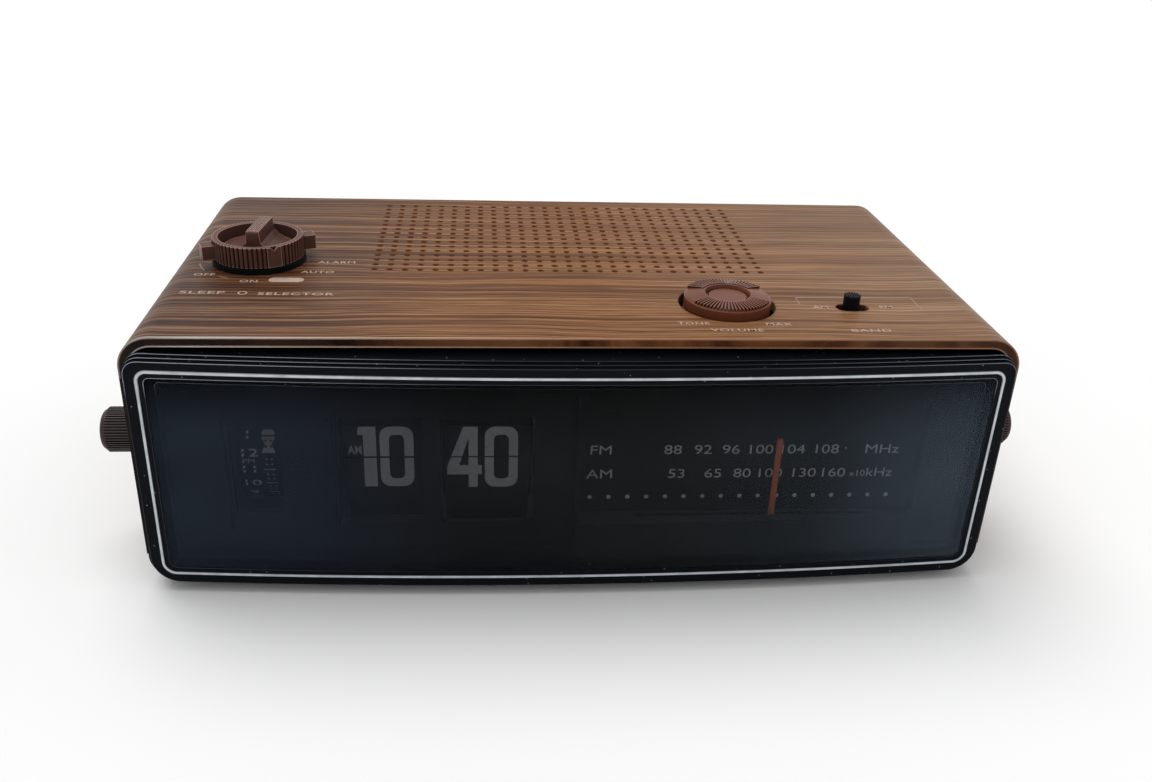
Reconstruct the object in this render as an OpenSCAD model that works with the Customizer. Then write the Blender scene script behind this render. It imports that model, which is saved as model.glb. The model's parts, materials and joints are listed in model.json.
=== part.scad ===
// Flip clock radio: a bowed black front in a wood-grain sleeve, with a leaf clock, an alarm
// drum, a slide-rule dial and top controls. Millimetres, +Z up, front towards -Y.

/* [Cabinet] */
// Width of the sleeve over its side walls
body_w = 290; // [270:1:320]
// Depth of the sleeve
body_d = 150; // [145:1:175]
// Height from the underside of the tray to the top of the sleeve
body_h = 89.5; // [89:0.5:100]
// Wall of the sleeve
wall = 3.4; // [2.8:0.1:4]
// Outer radius of the sleeve's top corners
corner_r = 10.5; // [8:0.5:14]
// Height at which the sleeve's sides end above the tray's underside
side_z = 10; // [9:0.5:12]
// Floor of the tray
floor_t = 2.6; // [2.2:0.1:3]
// Outer radius of the tray's bottom corners
tray_r = 9; // [6:0.5:9.5]
// Height of the rubber feet below the tray
foot_h = 2.5; // [2:0.5:6]
// Radius of the rubber feet
foot_r = 7; // [5:0.5:9]
// Clearance between pieces that only meet
gap = 0.3; // [0.2:0.05:0.4]
// Running clearance of shafts, radial
run = 0.05; // [0.03:0.01:0.08]

/* [Speaker grille] */
// Holes in a row
grille_nx = 27; // [21:1:27]
// Rows of holes
grille_ny = 16; // [10:1:16]
// Pitch along the row
grille_px = 5.46; // [5:0.05:5.6]
// Pitch between rows
grille_py = 5.2; // [4.5:0.05:5.2]
// Hole radius
grille_r = 1.2; // [0.9:0.05:1.5]
// Centre of the grille and the speaker ahead of the back edge
speaker_back = 49; // [48:0.5:50]

/* [Front] */
// How far the bezel's face stands ahead of the sleeve at its ends
reach = 3.8; // [3:0.1:5]
// Extra bow of the face at the middle
bow = 5.5; // [3:0.1:6]
// Shadow gap between the bezel's top and the inside of the sleeve
bezel_gap = 1.7; // [1.2:0.1:3]
// Depth of each step of the bezel's edge
step_d = 1.5; // [1:0.1:2]
// Inset of each step at the top
step_in = 0.75; // [0.5:0.05:1]
// Inset of each step at the sides
step_side = 0.3; // [0.2:0.05:0.6]
// How far the bezel's sides stay inside the sleeve's
bezel_in = 1.6; // [1.2:0.1:3]
// Inset of the trim line from the face's sides
trim_in = 3.5; // [3:0.1:4]
// Inset of the trim line from the face's top
trim_top = 2.9; // [2.5:0.1:3.5]
// Width of the trim line
trim_w = 0.9; // [0.8:0.1:1.5]
// How far the trim line stands ahead of the face
trim_out = 0.2; // [0.1:0.05:0.4]
// Width of the band between trim line and lens
rim_w = 1.8; // [1.2:0.1:2.5]
// Thickness of the lens
lens_t = 2.2; // [1.8:0.1:2.6]
// Depth of the lens below the face
lens_in = 0.4; // [0.2:0.1:0.8]
// Lip behind the lens
lip_w = 2.5; // [2:0.1:3]

/* [Clock] */
// Clock axis behind the front edge
clock_y = 33; // [32.5:0.5:34]
// Clock axis above the tray's underside
clock_z = 40; // [39.5:0.5:41]
// Radius of the circle of leaf pivots
pivot_r = 23; // [22:0.5:23.5]
// Leaf thickness
leaf_t = 0.25; // [0.15:0.05:0.25]
// Radius of the leaf pins
pin_r = 0.2; // [0.15:0.05:0.25]
// Height of the split line above the clock axis
split_z = 1.1; // [0.8:0.1:1.4]
// Height of the leaves' free edge above the clock axis
leaf_top = 13.5; // [12:0.5:14]
// Width of the hour leaves
hour_w = 25.5; // [22:0.5:25.5]
// Width of the minute leaves
minute_w = 28.5; // [24:0.5:28.5]
// Hour leaves
hour_n = 24; // [12:12:24]
// Minute leaves
minute_n = 60; // [60:10:60]
// Radius of the alarm drum
alarm_r = 24; // [22:0.5:24.5]
// Width of the alarm drum
alarm_w = 16; // [12:0.5:18]
// Module of the clock's gears
clock_m = 0.6; // [0.58:0.01:0.6]

/* [Knobs] */
// Radius of the knobs on the ends
end_knob_r = 8; // [7:0.5:10]
// How far the alarm and tuning knobs stand out from the sleeve
end_knob_l = 19; // [16:0.5:24]
// Radius of the time-set knob
time_knob_r = 7; // [6:0.5:9]
// How far the time-set knob stands out
time_knob_l = 12; // [8:0.5:14]
// Shaft radius of the end knobs
shaft_r = 3; // [2.5:0.1:3.2]
// Selector's centre from the inside of the left wall
select_in = 28.4; // [26:0.1:30]
// Selector position behind the front edge
select_y = 71; // [69:0.5:74]
// Outer radius of the selector ring
ring_r = 16.1; // [15:0.1:18]
// Wall of the selector ring
ring_t = 2.1; // [1.8:0.1:3]
// Height of the selector ring
ring_h = 7.3; // [7:0.1:10]
// Reach of the lugs from the selector's centre
lug_r = 20.3; // [19:0.1:22]
// Thickness of the black base below the ring
base_t = 2; // [1.5:0.1:2.5]
// Volume knob's centre from the inside of the right wall
vol_in = 89.9; // [87:0.1:92]
// Volume knob position behind the front edge
vol_y = 30.5; // [30.5:0.1:33]
// Volume knob radius
vol_r = 15; // [13:0.1:16]
// Radius of the hole round the volume knob
vol_hole_r = 16.8; // [16.4:0.1:18]
// Height of the volume knob above the sleeve
vol_h = 4.1; // [3:0.1:6]
// Band slot's centre from the inside of the right wall
band_in = 46.4; // [44:0.1:50]
// Band slider position behind the front edge
band_y = 27.4; // [27:0.1:31]
// Length of the band slider's slot
slot_l = 11.6; // [11.2:0.1:14]
// Width of the band slider's slot
slot_w = 6.2; // [6:0.1:6.5]
// Band slider's travel
band_travel = 4.2; // [3:0.1:4.2]
// Radius of the band button
button_r = 2.85; // [2.6:0.05:2.85]
// Height of the band button above the sleeve
band_h = 4.8; // [3:0.1:5.5]

/* [Tuning] */
// Tuning axis behind the front edge
tune_y = 35.5; // [35:0.5:36]
// Radius of the cord on the drum and on the left pulley
cord_drum_r = 8.5; // [8:0.1:9]
// Radius of the cord on the small pulleys
cord_pulley_r = 4; // [3.6:0.1:4.2]
// Radius of the dial cord
cord_r = 0.4; // [0.3:0.05:0.5]
// Cord plane behind the front edge
cord_y = 12; // [11.8:0.1:12.2]
// Pointer position at rest
pointer_x = 67.5; // [60:0.1:75]
// Pointer width
pointer_w = 2; // [1.4:0.1:2.4]
// Height of the pointer's tip above the tray's underside
pointer_top = 53; // [50:0.5:56]
// Rail radius
rail_r = 1.5; // [1.2:0.1:1.8]
// Module of the tuning gears
tune_m = 0.8; // [0.78:0.01:0.8]

/* [Hidden] */
$fn = 48;
eps = 0.01;

// Frame: the front edge of the sleeve lies at front_y, and heights count from the tray's underside
front_y = (reach + bow + trim_out - body_d) / 2;
in_x = body_w / 2 - wall;
top_in = body_h - wall;
speaker_y = body_d - speaker_back;
bow_half = 138;
bow_strips = 30;
bow_r = (bow_half * bow_half + bow * bow) / (2 * bow);

// Bezel outlines, from the plug in the sleeve to the lens
bezel_x = body_w / 2 - bezel_in;
bezel_h = top_in - bezel_gap;
plug_x = in_x - 3 * gap;
face_x = bezel_x - 2 * step_side;
face_top = bezel_h - 2 * step_in;
bezel_z0 = 1.4;
trim_x = face_x - trim_in;
trim_z0 = 4.5;
trim_z1 = face_top - trim_top;
trim_c0 = 4.6;
trim_c1 = 3.8;
trim_d = 0.8;
face_r = 4.8;
lens_x = trim_x - trim_w - rim_w;
lens_z0 = trim_z0 + trim_w + rim_w;
lens_z1 = trim_z1 - trim_w - rim_w;
lens_c0 = trim_c0 - trim_w - rim_w / 2;
lens_c1 = trim_c1 - trim_w - rim_w / 2;
hole_x = lens_x - lip_w;
plug_d = 8;
panel_y = 2.5;
panel_t = 1.5;
panel_x = plug_x - 3.8;
panel_z0 = 6;
panel_z1 = bezel_h - 4.5;

// Tray, tongue, bosses and screws
tray_x = body_w / 2 - 0.4;
tongue_t = 2;
tongue_x = in_x - gap;
tongue_z = side_z + 4;
boss = 10;
boss_x = in_x - boss / 2;
boss_z = tongue_z + 0.4;
boss_top = 36;
boss_y = [16, body_d - 11.1];
screw_r = 1.5;
head_r = 3;
head_t = 2;
sink = 5;
screw_bite = 8;
rear_bite = 6;
blind = 2;
rear_y = body_d - 6;
rear_t = 2.5;
rear_x = tongue_x - gap;
tray_in_r = 5;
rear_screw_z = [33, 70];
inlet_x = in_x - 41.6;
inlet_z = 18;
inlet_r = 4.5;
vent_n = 8;
vent_p = 9;
vent_z = 50;
vent_l = 36;
vent_w = 3;
floor_vent = [50, 2.4];
floor_vent_x = 36;
floor_vent_p = 5.5;
floor_vent_y = rear_y - 48;
floor_vent_n = 8;
foot_x = body_w / 2 - 25;
foot_y = [20, body_d - 20];
foot_in = 0.6;

// Clock stack across, from the alarm drum to the motor
plate_t = 1.5;
flange_t = 1;
alarm_x = 35.1 - in_x;
hour_x = -66.25;
minute_x = -30.75;
frame_x0 = 22.6 - in_x;
p2_x0 = -85;
p2_x1 = -82;
p3_x0 = -48.6;
p3_x1 = -47.4;
p4_x0 = -12.6;
p4_x1 = p4_x0 + plate_t;
frame_y0 = 12;
frame_y1 = 84;
axle_r = 2;
hub_r = 5;
flange_r = pivot_r + 1.2;
gear_w = 1.4;
hour_f0 = hour_x - hour_w / 2 - gap - flange_t;
hour_f1 = hour_x + hour_w / 2 + gap + flange_t;
minute_f0 = minute_x - minute_w / 2 - gap - flange_t;
minute_f1 = minute_x + minute_w / 2 + gap + flange_t;
hour_g1 = hour_f1 + gear_w;
carry_x0 = hour_g1 + 0.4;
carry_x1 = carry_x0 + gear_w;

// Gear train: teeth and centre distances
z_minute = 14;
z_carry = 56;
z_carry_pin = 10;
z_hour = 60;
z_time = 12;
z_wheel = 72;
z_motor = 12;
carry_y = clock_y + clock_m * (z_minute + z_carry) / 2;
time_y = carry_y + clock_m * (z_carry + z_time) / 2;
motor_y = clock_y + clock_m * (z_wheel + z_motor) / 2;
carry_pin_r = 1.5;
time_r = 2.5;
time_end_r = 1.5;
motor_shaft_r = 1.5;
motor_r = 20;
frame_z1 = clock_z + motor_r + 0.5;
motor_l = 19;
z_tune = 18;
z_cap = 42;
cap_y = tune_y + tune_m * (z_tune + z_cap) / 2;
tune_z = clock_z;
mesh_play = 0.14;
press_a = 25;

// Leaves: pivot angles and lengths from the split line
hour_step = 360 / hour_n;
minute_step = 360 / minute_n;
hour_a0 = hour_step / 2 + asin(split_z / (pivot_r * cos(hour_step / 2)));
minute_a0 = minute_step / 2 + asin(split_z / (pivot_r * cos(minute_step / 2)));
hour_tail = pivot_r * sin(hour_a0) - split_z - 0.15;
minute_tail = pivot_r * sin(minute_a0) - split_z - 0.15;
hour_h = leaf_top - pivot_r * sin(hour_a0);
minute_h = leaf_top - pivot_r * sin(minute_a0);
hour_rest = 0;
minute_rest = 5.5;
sweep_r = pivot_r + max(hour_h, minute_h);

// Dial chassis, rail and cord
chassis_y = 17;
sheet = 1.2;
side_x1 = boss_x - boss / 2 - gap;
side_x0 = side_x1 - plate_t;
wall_x0 = side_x0 - 19.3;
wall_x1 = wall_x0 + plate_t;
shelf_z = top_in - 24.1;
chassis_x0 = -4;
chassis_y1 = 80;
rail_z = 18;
drum_x = side_x0 - 4.8;
cord_z0 = tune_z - cord_drum_r;
cord_z1 = tune_z + cord_drum_r;
pulley_x = drum_x - cord_pulley_r;
pulley_y = cord_y + cord_pulley_r;
left_x = 6;
pulley_pin_r = 1.2;
ledge_z = 23.5;
pointer_t = 0.8;
dial_x0 = 0;
dial_x1 = side_x0 - 12.8;
pointer_slot = [dial_x0 + 20, dial_x1 - 17];
ledge_z0 = lens_z0 + lip_w + gap;
rib_t = 1.2;
dial_rib_z = lens_z1 - lip_w - 8;
clock_rib_z = [20, 62];
lens_clear = 0.8;
alarm_win = 16;
vol_x = in_x - vol_in;
shelf_x0 = vol_x - 25.7;
shelf_y1 = vol_y + 14;
chassis_foot_x = wall_x0 - 26.5;
lamp = [60, 10];
tune_gear_x0 = wall_x1 + 3.2;
tune_gear_x1 = tune_gear_x0 + 3;
cap_body = [24, 26, 26];
cap_bush_r = 4;
cap_shaft_r = 2.5;

// Top controls
select_x = select_in - in_x;
band_x = in_x - band_in;
band_rest = -0.6;
vol_shaft_r = 3;
pot_h = 10;
stem = [4, 3];
plate = [18, 10, 1.4];
rib_p = 0.86;
select_tube_r = 4;
sleep_r = 2.5;
bush_r = 5;
ring_z = body_h + base_t + gap;
select_lug_a = 22;
web_t = 1.6;
flute = 0.65;
notch = 1.8;
lug_z = [0.5, 5.7];
lug_w = 5.2;
switch_r = 14;
switch_h = 16;
spindle = 12;
dish_t = 1.6;
dish_gap = 1.6;
grip_h = 8.4;
grip_w = 4.5;
grip_front = 6;
sleep_a = -6;

// Rear of the cabinet: board, transformer, rod and speaker, whose screws stand between grille columns
board = [-75, in_x - 21.6, frame_y1 + 2, rear_y - 4];
board_z = 8;
board_t = 1.6;
post_r = 3;
can = [8, 8, 13];
can_x = [for (i = [0:3]) board[1] - 18 - 14 * i];
can_y = board[2] + 12;
smooth_r = 6;
smooth_h = 22;
smooth_x = [-60, -42, -24];
smooth_y = board[2] + 14;
core = [44, 24, 38];
core_at = [33.6 - in_x, rear_y - 28];
core_leg = 8;
coil_d = 32;
rod_l = 120;
rod_hold_x = 48;
aerial_x = [4, 30];
rod_y = rear_y - 12;
rod_z = 32;
rod_r = 5;
cone_x = -0.1;
basket_r = rear_y - speaker_y - 2 * gap;
mouth_r = basket_r - 5;
throat_r = 14;
magnet_r = 19;
magnet_h = 9;
basket_z = top_in - 16.1;
magnet_z = basket_z - magnet_h;
rim_t = 1.2;
ear_r = 6.5 * sqrt(2) * grille_px;
ear_w = 8;
ear_screw_r = 1;
coil_r = 9;
coil_t = 0.6;
coil_play = 0.5;

module at(p) {
    translate([p[0], front_y + p[1], foot_h + p[2]]) children();
}

// Extrusions along the axes: a profile in XZ along Y, or in YZ along X
module along_y(y0, y1) {
    translate([0, y1, 0]) rotate([90, 0, 0]) linear_extrude(y1 - y0) children();
}

module along_x(x0, x1) {
    translate([x0, 0, 0]) rotate([90, 0, 90]) linear_extrude(x1 - x0) children();
}

module rod_x(x0, x1, r) {
    translate([x0, 0, 0]) rotate([0, 90, 0]) cylinder(h = x1 - x0, r = r);
}

module rod_y(y0, y1, r) {
    translate([0, y0, 0]) rotate([-90, 0, 0]) cylinder(h = y1 - y0, r = r);
}

module block(x0, x1, y0, y1, z0, z1) {
    translate([x0, y0, z0]) cube([x1 - x0, y1 - y0, z1 - z0]);
}

module rounded(x, z0, z1, r) {
    translate([-x + r, z0]) square([2 * (x - r), z1 - z0]);
    translate([-x, z0 + r]) square([2 * x, z1 - z0 - 2 * r]);
    for (sx = [-1, 1], z = [z0 + r, z1 - r]) translate([sx * (x - r), z]) circle(r);
}

// Outline with radius r0 at its bottom corners and r1 at its top ones
module slab(x, z0, z1, r0, r1) {
    mid = (z0 + z1) / 2;
    intersection() {
        rounded(x, z0, z1, r0);
        translate([-x, z0]) square([2 * x, mid - z0]);
    }
    intersection() {
        rounded(x, z0, z1, r1);
        translate([-x, mid]) square([2 * x, z1 - mid]);
    }
}

module arch(x, z0, z1, r) {
    translate([-x, z0]) square([2 * x, z1 - r - z0]);
    translate([-x + r, z0]) square([2 * (x - r), z1 - z0]);
    for (s = [-1, 1]) translate([s * (x - r), z1 - r]) circle(r);
}

// Solid behind the bowed face, moved back by off; the bow is drawn as narrow upright strips
function ahead(x) = reach + bow - bow_r + sqrt(bow_r * bow_r - x * x);
module behind_face(off) {
    half = body_w / 2;
    translate([0, off, -foot_h]) linear_extrude(body_h + 2 * foot_h) polygon(concat(
        [for (i = [-bow_strips:bow_strips]) let (x = half * i / bow_strips) [x, -ahead(x)]],
        [[half, 2 * plug_d], [-half, 2 * plug_d]]));
}

module stadium(l, w) {
    square([l - w, w], center = true);
    for (s = [-1, 1]) translate([s * (l - w) / 2, 0]) circle(w / 2);
}

// Spur gear with involute flanks; the first tooth points along the profile's x axis
function inv_deg(q, rb) = q <= rb ? 0 : tan(acos(rb / q)) * 180 / PI - acos(rb / q);
function flank(q, z, r, rb, m) = 90 / z - mesh_play / (2 * r) * 180 / PI + inv_deg(r, rb) - inv_deg(q, rb);
function tooth(a, z, m, r, rb, s) = [for (i = [0:4])
    let (q = s < 0 ? r - m + i * 1.75 * m / 4 : r + 0.75 * m - i * 1.75 * m / 4)
    q * [cos(a + s * flank(q, z, r, rb, m)), sin(a + s * flank(q, z, r, rb, m))]];
module gear_2d(z, m, a0) {
    r = m * z / 2;
    rb = r * cos(press_a);
    polygon([for (k = [0:z - 1], s = [-1, 1], p = tooth(a0 + k * 360 / z, z, m, r, rb, s)) p]);
}

module bowl_screw(l) {
    cylinder(h = head_t, r = head_r);
    translate([0, 0, head_t]) cylinder(h = l, r = screw_r);
}

// Ribbed end knob along +X with a rounded end and a blind bore
knob_round = 2;
knob_rib = 0.5;
knob_ribs = 50;
module end_knob(l, r, bore_r, bore_l) {
    valley = r - knob_rib;
    dome = valley - 0.1;
    step = 360 / knob_ribs;
    rib = [[-0.3, valley], [-0.15, r], [0.15, r], [0.3, valley]];
    difference() {
        union() {
            along_x(0, l - knob_round) polygon([for (k = [0:knob_ribs - 1], e = rib)
                e[1] * [cos((k + e[0]) * step), sin((k + e[0]) * step)]]);
            translate([l - knob_round, 0, 0]) rotate([0, 90, 0]) rotate_extrude($fn = 64) intersection() {
                union() {
                    translate([0, -eps]) square([dome - knob_round, knob_round + eps]);
                    translate([dome - knob_round, 0]) circle(knob_round);
                }
                translate([0, -eps]) square([dome, knob_round + eps]);
            }
        }
        rod_x(-1, bore_l, bore_r);
    }
}

module cabinet() {
    color("#785844") at([0, 0, 0]) difference() {
        union() {
            along_y(0, body_d) difference() {
                arch(body_w / 2, side_z, body_h, corner_r);
                arch(in_x, side_z - 1, top_in, corner_r - wall);
            }
            for (s = [-1, 1]) {
                for (y = boss_y) block(s * boss_x - boss / 2 - eps, s * boss_x + boss / 2 + eps,
                    y - boss / 2, y + boss / 2, boss_z, boss_top);
                block(s * boss_x - boss / 2 - eps, s * boss_x + boss / 2 + eps,
                    boss_y[1] - boss / 2, boss_y[1] + boss / 2, rear_screw_z[1] - 6, rear_screw_z[1] + 6);
            }
        }
        translate([cone_x, speaker_y, top_in - 1]) linear_extrude(wall + 2)
            for (i = [0:grille_nx - 1], j = [0:grille_ny - 1])
                translate([(i - (grille_nx - 1) / 2) * grille_px, (j - (grille_ny - 1) / 2) * grille_py])
                    circle(grille_r, $fn = 16);
        translate([select_x, select_y, top_in - 1]) cylinder(h = wall + 2, r = bush_r + gap);
        translate([vol_x, vol_y, top_in - 1]) cylinder(h = wall + 2, r = vol_hole_r, $fn = 96);
        translate([band_x, band_y, top_in - 1]) linear_extrude(wall + 2) stadium(slot_l, slot_w);
        translate([0, clock_y, clock_z]) rod_x(-body_w / 2 - 1, -in_x + 1, shaft_r + 1);
        translate([0, time_y, clock_z]) rod_x(-body_w / 2 - 1, -in_x + 1, time_r + 1);
        translate([0, tune_y, tune_z]) rod_x(in_x - 1, body_w / 2 + 1, shaft_r + 1);
        for (s = [-1, 1]) {
            for (y = boss_y) translate([s * boss_x, y, boss_z - 1])
                cylinder(h = screw_bite + blind + 1, r = screw_r + run);
            for (z = rear_screw_z) translate([s * boss_x, 0, z])
                rod_y(rear_y - rear_bite - blind, rear_y + 1, screw_r + run);
        }
        for (a = [45:90:315]) translate([cone_x, speaker_y, top_in - 1])
            rotate(a) translate([ear_r, 0, 0]) cylinder(h = 3, r = ear_screw_r + run);
    }
}

module base_tray() {
    color("#1c1c1e") at([0, 0, 0]) difference() {
        union() {
            along_y(0, body_d) difference() {
                intersection() {
                    rounded(tray_x, 0, 3 * tray_r, tray_r);
                    translate([-tray_x, 0]) square([2 * tray_x, side_z - 0.2]);
                }
                union() {
                    translate([-tongue_x + tray_in_r, floor_t]) square([2 * (tongue_x - tray_in_r), side_z]);
                    translate([-tongue_x, floor_t + tray_in_r]) square([2 * tongue_x, side_z]);
                    for (s = [-1, 1]) translate([s * (tongue_x - tray_in_r), floor_t + tray_in_r])
                        circle(tray_in_r);
                }
            }
            for (s = [-1, 1]) translate([s * (tongue_x - tongue_t / 2 + eps), 0, 0])
                block(-tongue_t / 2, tongue_t / 2, plug_d + 1, rear_y - 1, floor_t + 3, tongue_z);
            for (s = [-1, 1], y = boss_y) translate([s * boss_x, y, 0])
                cylinder(h = boss_z - 0.2, r = boss / 2 - 0.6);
            for (x = [board[0] + 6, board[1] - 6], y = [board[2] + 6, board[3] - 6])
                translate([x, y, floor_t - eps]) cylinder(h = board_z - floor_t + eps, r = post_r);
        }
        for (s = [-1, 1], y = boss_y) translate([s * boss_x, y, 0]) {
            translate([0, 0, -1]) cylinder(h = 30, r = screw_r + gap);
            translate([0, 0, -1]) cylinder(h = sink + 1, r = head_r + gap);
        }
        for (s = [-1, 1], y = foot_y) translate([s * foot_x, y, -1])
            cylinder(h = 1 + foot_in, r = foot_r + gap);
        for (s = [-1, 1], i = [0:floor_vent_n - 1])
            translate([s * floor_vent_x, floor_vent_y + i * floor_vent_p, -1]) linear_extrude(floor_t + 2)
                stadium(floor_vent[0], floor_vent[1]);
    }
}

module rear_cover() {
    color("#1c1c1e") at([0, 0, 0]) difference() {
        along_y(rear_y, rear_y + rear_t)
            slab(rear_x, floor_t + gap, top_in - gap, tray_in_r - gap, corner_r - wall);
        for (s = [-1, 1], z = rear_screw_z) translate([s * boss_x, 0, z])
            rod_y(rear_y - 1, rear_y + rear_t + 1, screw_r + gap);
        for (i = [-vent_n:vent_n]) along_y(rear_y - 1, rear_y + rear_t + 1)
            translate([i * vent_p, vent_z]) rotate(90) stadium(vent_l, vent_w);
        translate([inlet_x, 0, inlet_z]) rod_y(rear_y - 1, rear_y + rear_t + 1, inlet_r);
    }
}

// One step of the bezel: an outline with the lens opening, cut by the bowed face moved back by off
module bezel_step(side, top, off, r) {
    intersection() {
        along_y(-12, -gap) difference() {
            slab(bezel_x - side, bezel_z0, bezel_h - top, tray_r, r);
            lens_seat();
        }
        behind_face(off);
    }
}

module lens_seat() {
    slab(lens_x + 0.1, lens_z0 - 0.1, lens_z1 + 0.1, lens_c0, lens_c1);
}

// Front layer of the bezel, outside and inside the trim line's groove
module bezel_front() {
    intersection() {
        along_y(-12, -gap) difference() {
            slab(face_x, bezel_z0, face_top, tray_r, face_r);
            slab(trim_x, trim_z0, trim_z1, trim_c0, trim_c1);
        }
        behind_face(0);
    }
    intersection() {
        along_y(-12, -gap) difference() {
            slab(trim_x - trim_w, trim_z0 + trim_w, trim_z1 - trim_w, trim_c0 - trim_w, trim_c1 - trim_w);
            lens_seat();
        }
        behind_face(0);
    }
}

module trim_ring(c) {
    difference() {
        slab(trim_x - c, trim_z0 + c, trim_z1 - c, trim_c0 - c, trim_c1 - c);
        slab(trim_x - trim_w + c, trim_z0 + trim_w - c, trim_z1 - trim_w + c,
            trim_c0 - trim_w + c, trim_c1 - trim_w + c);
    }
}

module front_bezel() {
    color("#101114") at([0, 0, 0]) difference() {
        union() {
            bezel_step(0, 0, 2 * step_d, 6);
            bezel_step(step_side, step_in, step_d, 5.4);
            bezel_step(2 * step_side, 2 * step_in, trim_d, face_r);
            bezel_front();
            intersection() {
                along_y(-12, -gap) slab(lens_x + 1, lens_z0 - 1, lens_z1 + 1, lens_c0, lens_c1);
                behind_face(lens_in + lens_t);
            }
            along_y(-gap - eps, plug_d) slab(plug_x, floor_t + 0.05, bezel_h, 6, 6);
        }
        along_y(-20, plug_d + 1) rounded(hole_x, lens_z0 + lip_w, lens_z1 - lip_w, 1.5);
        along_y(panel_y, plug_d + 1) rounded(panel_x + gap, panel_z0 - gap, panel_z1 + gap, 3);
    }
}

module trim_line() {
    color("#c4ccd4") at([0, 0, 0]) difference() {
        intersection() {
            along_y(-20, 1) trim_ring(run);
            behind_face(-trim_out);
        }
        behind_face(trim_d);
    }
}

module front_lens() {
    color("#30343a", 0.5) at([0, 0, 0]) difference() {
        intersection() {
            along_y(-20, plug_d) slab(lens_x, lens_z0, lens_z1, lens_c0 - 0.1, lens_c1 - 0.1);
            behind_face(lens_in);
        }
        behind_face(lens_in + lens_t);
    }
}

module dial_panel() {
    win = sweep_r + 1;
    half = sqrt(win * win - pow(clock_y - panel_y - panel_t, 2));
    color("#0c0c0e") at([0, 0, 0]) difference() {
        union() {
            along_y(panel_y, panel_y + panel_t) rounded(panel_x, panel_z0, panel_z1, 2.5);
            intersection() {
                union() {
                    block(dial_x0, dial_x1, -8, panel_y + eps, ledge_z0, ledge_z);
                    block(dial_x0 - rib_t, dial_x0, -8, panel_y + eps, ledge_z0, dial_rib_z);
                    block(dial_x1, dial_x1 + rib_t, -8, panel_y + eps, ledge_z0, dial_rib_z);
                    for (x = [alarm_x - alarm_w / 2 - 1 - rib_t, p2_x1])
                        block(x, x + rib_t, -8, panel_y + eps, clock_rib_z[0], clock_rib_z[1]);
                }
                behind_face(lens_in + lens_t + lens_clear);
            }
        }
        intersection() {
            block(dial_x0 + 0.2, dial_x1 - 0.2, -8, panel_y, ledge_z0 - 0.5, ledge_z - sheet);
            behind_face(lens_in + lens_t + lens_clear + panel_t);
        }
        block(pointer_slot[0], pointer_slot[1], -pointer_t / 2 - 0.5, pointer_t / 2 + 0.5,
            ledge_z - 3, ledge_z + 1);
        block(pointer_slot[0], pointer_slot[1], panel_y - 1, panel_y + panel_t + 1,
            rail_z - 4.5, rail_z + 0.5);
        block(alarm_x - alarm_w / 2, alarm_x + alarm_w / 2, panel_y - 1, panel_y + panel_t + 1,
            clock_z - alarm_win, clock_z + alarm_win);
        block(hour_f0, hour_f1, panel_y - 1, panel_y + panel_t + 1, clock_z - half, clock_z + half);
        block(minute_f0, minute_f1, panel_y - 1, panel_y + panel_t + 1, clock_z - half, clock_z + half);
    }
}

module rubber_feet() {
    color("#222222") for (s = [-1, 1], y = foot_y) at([s * foot_x, y, -foot_h])
        cylinder(h = foot_h + foot_in, r = foot_r);
}

module base_screws() {
    color("#9a9a9a") for (s = [-1, 1], y = boss_y) at([s * boss_x, y, sink - head_t])
        bowl_screw(boss_z + screw_bite - sink);
}

module rear_screws() {
    color("#9a9a9a") for (s = [-1, 1], z = rear_screw_z) at([s * boss_x, rear_y + rear_t + head_t, z])
        rotate([90, 0, 0]) bowl_screw(rear_t + rear_bite);
}

module clock_frame() {
    color("#8d9094") at([0, 0, 0]) difference() {
        union() {
            block(frame_x0, p4_x1, frame_y0, frame_y1, floor_t, floor_t + sheet);
            for (x = [[frame_x0, frame_x0 + plate_t], [p2_x0, p2_x1], [p3_x0, p3_x1], [p4_x0, p4_x1]])
                block(x[0], x[1], frame_y0, frame_y1, floor_t, frame_z1);
            translate([0, carry_y, clock_z]) rod_x(hour_f1 + 0.2, p3_x0 + eps, carry_pin_r);
        }
        translate([0, clock_y, clock_z]) {
            rod_x(frame_x0 - 1, frame_x0 + plate_t + 1, shaft_r + run);
            rod_x(p2_x0 - 1, p2_x1 + 1, axle_r + run);
            rod_x(p3_x0 - 1, p3_x1 + 1, hub_r + 1);
            rod_x(p4_x0 - 1, p4_x1 + 1, axle_r + run);
        }
        translate([0, time_y, clock_z]) {
            rod_x(frame_x0 - 1, p2_x1 + 1, time_r + run);
            rod_x(p3_x0 - 1, p3_x1 + 1, time_end_r + run);
        }
        translate([0, motor_y, clock_z]) rod_x(p4_x0 - 1, p4_x1 + 1, motor_shaft_r + 1);
    }
}

module drum_axle() {
    color("#b8bcc0") at([0, clock_y, clock_z]) rod_x(p2_x0 + 1.6, p4_x1, axle_r);
}

// Drum with a flange of pin holes at each end
module leaf_drum(f0, f1, n, a0) {
    for (x = [f0, f1 - flange_t]) along_x(x, x + flange_t) difference() {
        circle(flange_r, $fn = 96);
        circle(axle_r + run);
        for (k = [0:n - 1]) rotate(180 - a0 + k * 360 / n) translate([pivot_r, 0])
            circle(pin_r + 0.1, $fn = 16);
    }
    along_x(f0, f1) difference() {
        circle(hub_r);
        circle(axle_r + run);
    }
}

module hour_drum() {
    color("#2b2b2e") at([0, clock_y, clock_z]) {
        union() {
            leaf_drum(hour_f0, hour_f1, hour_n, hour_a0);
            along_x(p2_x1 + 0.2, hour_f0) difference() {
                circle(hub_r);
                circle(axle_r + run);
            }
            along_x(hour_f1, hour_g1) difference() {
                gear_2d(z_hour, clock_m, 180 / z_hour);
                circle(axle_r + run);
            }
        }
    }
}

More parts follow.
